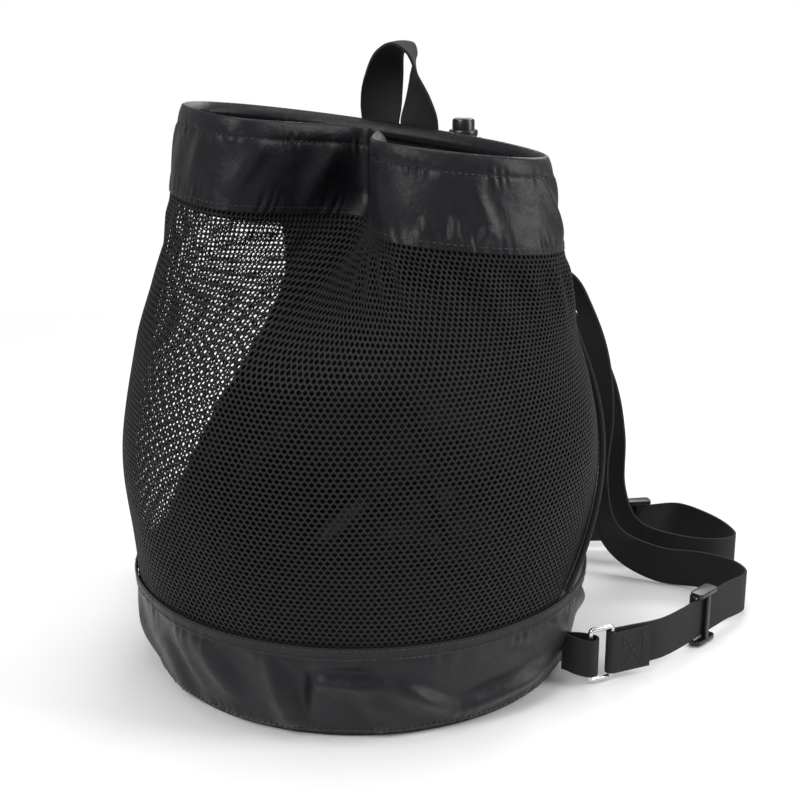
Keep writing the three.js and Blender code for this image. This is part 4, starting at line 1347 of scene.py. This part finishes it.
class BALLBAG_OT_straps(bpy.types.Operator):
    """Shoulder straps, their anchor patch, rings, tabs and sliders."""

    bl_idname = "ballbag.straps"
    bl_label = "Straps"

    def execute(self, context):
        width = context.scene.ball_bag.web_width
        half = STRAP_SPACING / 2 + width / MM / 2 + 3
        patch = piece("strap_patch_cloth", patch_sheet(half, STRAP_PATCH_FOOT, STRAP_PATCH_TOP),
            material("satin_nylon"), "bag", 0.8 * MM)
        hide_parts("strap_anchor_patch")
        stitches = bmesh.new()
        patch_stitches(stitches, half, STRAP_PATCH_FOOT, STRAP_PATCH_TOP, cross=False)
        piece("strap_patch_stitches", stitches, material("sewing_thread"), "bag")
        for side, sign in (("right", 1), ("left", -1)):
            self.strap(side, sign, width)
            self.ring(side, sign)
            self.tab(side, sign, width)
            self.slider(side)
        return {"FINISHED"}

    def strap(self, side, sign, width):
        stations = strap_stations(side)
        bm = ribbon(stations, 12, width - 0.3 * MM, across_cells=8)
        strap = piece(f"webbing_{side}", bm, material("webbing"), None, 1.3 * MM)
        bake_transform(strap)
        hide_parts(f"strap_{side}")

        place = ring_frame(sign)
        heading, beside, far_bar = place.heading, place.beside, place.far_bar
        stitches = bmesh.new()
        face = beside * -(TURN_RADIUS + 0.95) * MM
        for ahead in (6, 19):
            base = far_bar + heading * ahead * MM + face
            line = [base + UP * (z * MM) for z in np.linspace(-10.5, 10.5, 12)]
            stitch_line(stitches, line)
        for ends in ((-10.5, 10.5), (10.5, -10.5)):
            line = []
            for t in np.linspace(0, 1, 14):
                ahead = 6 + 13 * t
                rise = ends[0] + (ends[1] - ends[0]) * t
                line.append(far_bar + heading * ahead * MM + face + UP * rise * MM)
            stitch_line(stitches, line)
        piece(f"strap_stitches_{side}", stitches, material("sewing_thread"), f"strap_{side}")

    def ring(self, side, sign):
        place = ring_frame(sign)
        heading, near_bar, far_bar = place.heading, place.near_bar, place.far_bar
        centre = near_bar.lerp(far_bar, 0.5)
        corner = 1.8
        w, h = RING_DEPTH / 2, RING_LENGTH / 2
        points = []
        for cx, cz, turn in ((w, h, 0), (-w, h, 90), (-w, -h, 180), (w, -h, 270)):
            inner_x = cx - math.copysign(corner, cx)
            inner_z = cz - math.copysign(corner, cz)
            for step in range(7):
                a = math.radians(turn + 15 * step)
                x = inner_x + corner * math.cos(a)
                z = inner_z + corner * math.sin(a)
                points.append(centre + heading * x * MM + UP * z * MM)
        bm = tube(points, RING_WIRE / 2 * MM, 16, closed=True)
        ring = piece(f"wire_ring_{side}", bm, material("nickel_plate"), f"strap_{side}")
        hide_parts(f"ring_{side}")

    def tab(self, side, sign, width):
        place = ring_frame(sign)
        outward, backward, near_bar = place.outward, place.backward, place.near_bar
        gap = 2.9 + RING_WIRE / 2
        root = outward * (BASE_RADIUS + 8) * MM
        root.z = RING_HEIGHT * MM
        reach = (near_bar - root).length / MM

        def station(ahead, aside):
            return root + outward * ahead * MM + backward * sign * aside * MM, UP

        stations = [station(-3, 1.0), station(0, 1.6), station(reach * 0.45, gap * 0.85),
            station(reach * 0.85, gap), station(reach + gap * 0.6, gap * 0.8), station(reach + gap, 0),
            station(reach + gap * 0.6, -gap * 0.8), station(reach * 0.85, -gap),
            station(reach * 0.45, -gap * 0.85), station(0, -1.6), station(-3, -1.0)]
        bm = ribbon(stations, 8, width - 3 * MM, across_cells=6)
        tab = piece(f"tab_webbing_{side}", bm, material("webbing"), "bag", 1.1 * MM)
        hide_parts(f"ring_tab_{side}")

    def slider(self, side):
        start, end = stretch_ends(side)
        along = (end - start).normalized()
        face = UP.cross(along)
        middle = start.lerp(end, 0.5)
        lift = 0.8 + 0.35 + SLIDER_BAR / 2
        pitch = SLIDER_SLOT + SLIDER_BAR
        parts = []
        for ahead, aside in ((-pitch, -lift), (0, lift), (pitch, -lift)):
            bm = bmesh.new()
            cube(bm, (ahead * MM, aside * MM, 0),
                (SLIDER_BAR * MM, SLIDER_BAR * MM, SLIDER_LENGTH * MM))
            parts.append(rounded(bm, 0.9 * MM, 4))
        rail_length = 2 * pitch + SLIDER_BAR
        rail_depth = 2 * lift + SLIDER_BAR
        for level in (-SLIDER_LENGTH / 2, SLIDER_LENGTH / 2):
            bm = bmesh.new()
            cube(bm, (0, 0, level * MM), (rail_length * MM, rail_depth * MM, 2.8 * MM))
            upright = [e for e in bm.edges if abs(e.verts[0].co.z - e.verts[1].co.z) > 1 * MM]
            bmesh.ops.bevel(bm, geom=upright, offset=2.4 * MM, affect="EDGES", segments=5, profile=0.5,
                material=-1)
            parts.append(rounded(bm, 0.55 * MM, 3, 50))
        body = merge(*parts)
        turn = Matrix((along, face, UP)).transposed().to_4x4()
        bmesh.ops.transform(body, matrix=Matrix.Translation(middle) @ turn, verts=body.verts)
        slider = piece(f"tri_glide_{side}", body, material("black_acetal"), f"slider_{side}")
        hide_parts(f"slider_{side}")


# ---------------------------------------------------------------------------
# Stage
# ---------------------------------------------------------------------------


class BALLBAG_OT_stage(bpy.types.Operator):
    """Pale floor and backdrop, soft lights and the camera."""

    bl_idname = "ballbag.stage"
    bl_label = "Stage"

    def execute(self, context):
        settings = context.scene.ball_bag
        turn = settings.view_turn
        right = Vector((math.cos(turn), math.sin(turn), 0))
        away = Vector((-math.sin(turn), math.cos(turn), 0))
        self.camera(context, settings, right, away)
        self.sweep()
        self.lights(right, away)
        world = bpy.data.worlds.new("studio")
        world.use_nodes = True
        self.daylight(world.node_tree)
        context.scene.world = world
        context.scene.view_settings.view_transform = "Standard"
        return {"FINISHED"}

    def daylight(self, tree):
        """A white backdrop that lights the bag only softly."""
        seen = tree.nodes.new("ShaderNodeLightPath")
        level = tree.nodes.new("ShaderNodeMapRange")
        level.inputs["To Min"].default_value = 0.34
        level.inputs["To Max"].default_value = 1.0
        backdrop = tree.nodes["Background"]
        backdrop.inputs["Color"].default_value = (1, 1, 1, 1)
        tree.links.new(seen.outputs["Is Camera Ray"], level.inputs["Value"])
        tree.links.new(level.outputs["Result"], backdrop.inputs["Strength"])

    def camera(self, context, settings, right, away):
        data = bpy.data.cameras.new("view")
        data.lens = settings.view_lens
        data.sensor_width = 36
        camera = bpy.data.objects.new("view", data)
        context.scene.collection.objects.link(camera)
        camera.location = -away * settings.view_distance + UP * settings.view_height
        target = right * 22.7 * MM + UP * 148 * MM
        camera.rotation_euler = (target - camera.location).to_track_quat("-Z", "Y").to_euler()
        context.scene.camera = camera

    def sweep(self):
        """A pale floor, wide enough to fill every view."""
        bm = bmesh.new()
        bmesh.ops.create_grid(bm, x_segments=2, y_segments=2, size=6)
        mesh = bpy.data.meshes.new("floor")
        bm.to_mesh(mesh)
        bm.free()
        floor = bpy.data.objects.new("floor", mesh)
        bpy.context.scene.collection.objects.link(floor)
        floor.location.z = -0.4 * MM
        shader = Shader("pale_floor", (0.92, 0.92, 0.92), 0.7)
        place = shader.object_space(1.0)
        distance = shader.add("ShaderNodeVectorMath", {"operation": "LENGTH"},
            Vector=place).outputs["Value"]
        fade = shader.add("ShaderNodeMapRange", {"interpolation_type": "SMOOTHSTEP"}, Value=distance)
        fade.inputs["From Min"].default_value = 0.45
        fade.inputs["From Max"].default_value = 1.1
        fade.inputs["To Min"].default_value = 1.0
        fade.inputs["To Max"].default_value = 0.0
        shader.put(shader.principled, "Alpha", fade.outputs["Result"])
        shader.rough(shader.spread(shader.noise(place, 30.0), 0.62, 0.75))
        mesh.materials.append(shader.material)

    def lights(self, right, away):
        def area(name, place, aim, size, power, colour=(1, 1, 1)):
            data = bpy.data.lights.new(name, "AREA")
            data.shape = "RECTANGLE"
            data.size, data.size_y = size
            data.energy = power
            data.color = colour
            light = bpy.data.objects.new(name, data)
            bpy.context.scene.collection.objects.link(light)
            light.location = place
            light.rotation_euler = (aim - place).to_track_quat("-Z", "Y").to_euler()

        aim = UP * 0.16
        area("key", right * -0.9 - away * 1.0 + UP * 1.25, aim, (0.8, 0.8), 17)
        area("side", right * 1.25 - away * 0.35 + UP * 0.75, aim, (0.5, 1.0), 12)
        area("rim", right * 0.5 + away * 1.3 + UP * 1.1, aim, (1.4, 0.5), 12)
        area("top", UP * 1.7, aim, (0.9, 0.9), 9)


class BALLBAG_PT_panel(bpy.types.Panel):
    """Lists the bag's operators and settings."""

    bl_idname = "BALLBAG_PT_panel"
    bl_label = "Ball bag"
    bl_space_type = "VIEW_3D"
    bl_region_type = "UI"
    bl_category = "Ball bag"

    def draw(self, context):
        for name in STEPS:
            self.layout.operator(f"ballbag.{name}")
        for name in BallBagSettings.__annotations__:
            self.layout.prop(context.scene.ball_bag, name)


STEPS = ("stage", "drawcord", "base", "boot", "net", "back_panel", "collar", "cord_lock", "haul_loop",
    "straps")

CLASSES = (BallBagSettings, BALLBAG_OT_stage, BALLBAG_OT_drawcord, BALLBAG_OT_base, BALLBAG_OT_boot,
    BALLBAG_OT_net, BALLBAG_OT_back_panel, BALLBAG_OT_collar, BALLBAG_OT_cord_lock,
    BALLBAG_OT_haul_loop, BALLBAG_OT_straps, BALLBAG_PT_panel)


def register():
    for cls in CLASSES:
        bpy.utils.register_class(cls)
    bpy.types.Scene.ball_bag = bpy.props.PointerProperty(type=BallBagSettings)


def unregister():
    del bpy.types.Scene.ball_bag
    for cls in reversed(CLASSES):
        bpy.utils.unregister_class(cls)


def main():
    register()
    for name in STEPS:
        getattr(bpy.ops.ballbag, name)()


if __name__ == "__main__":
    main()
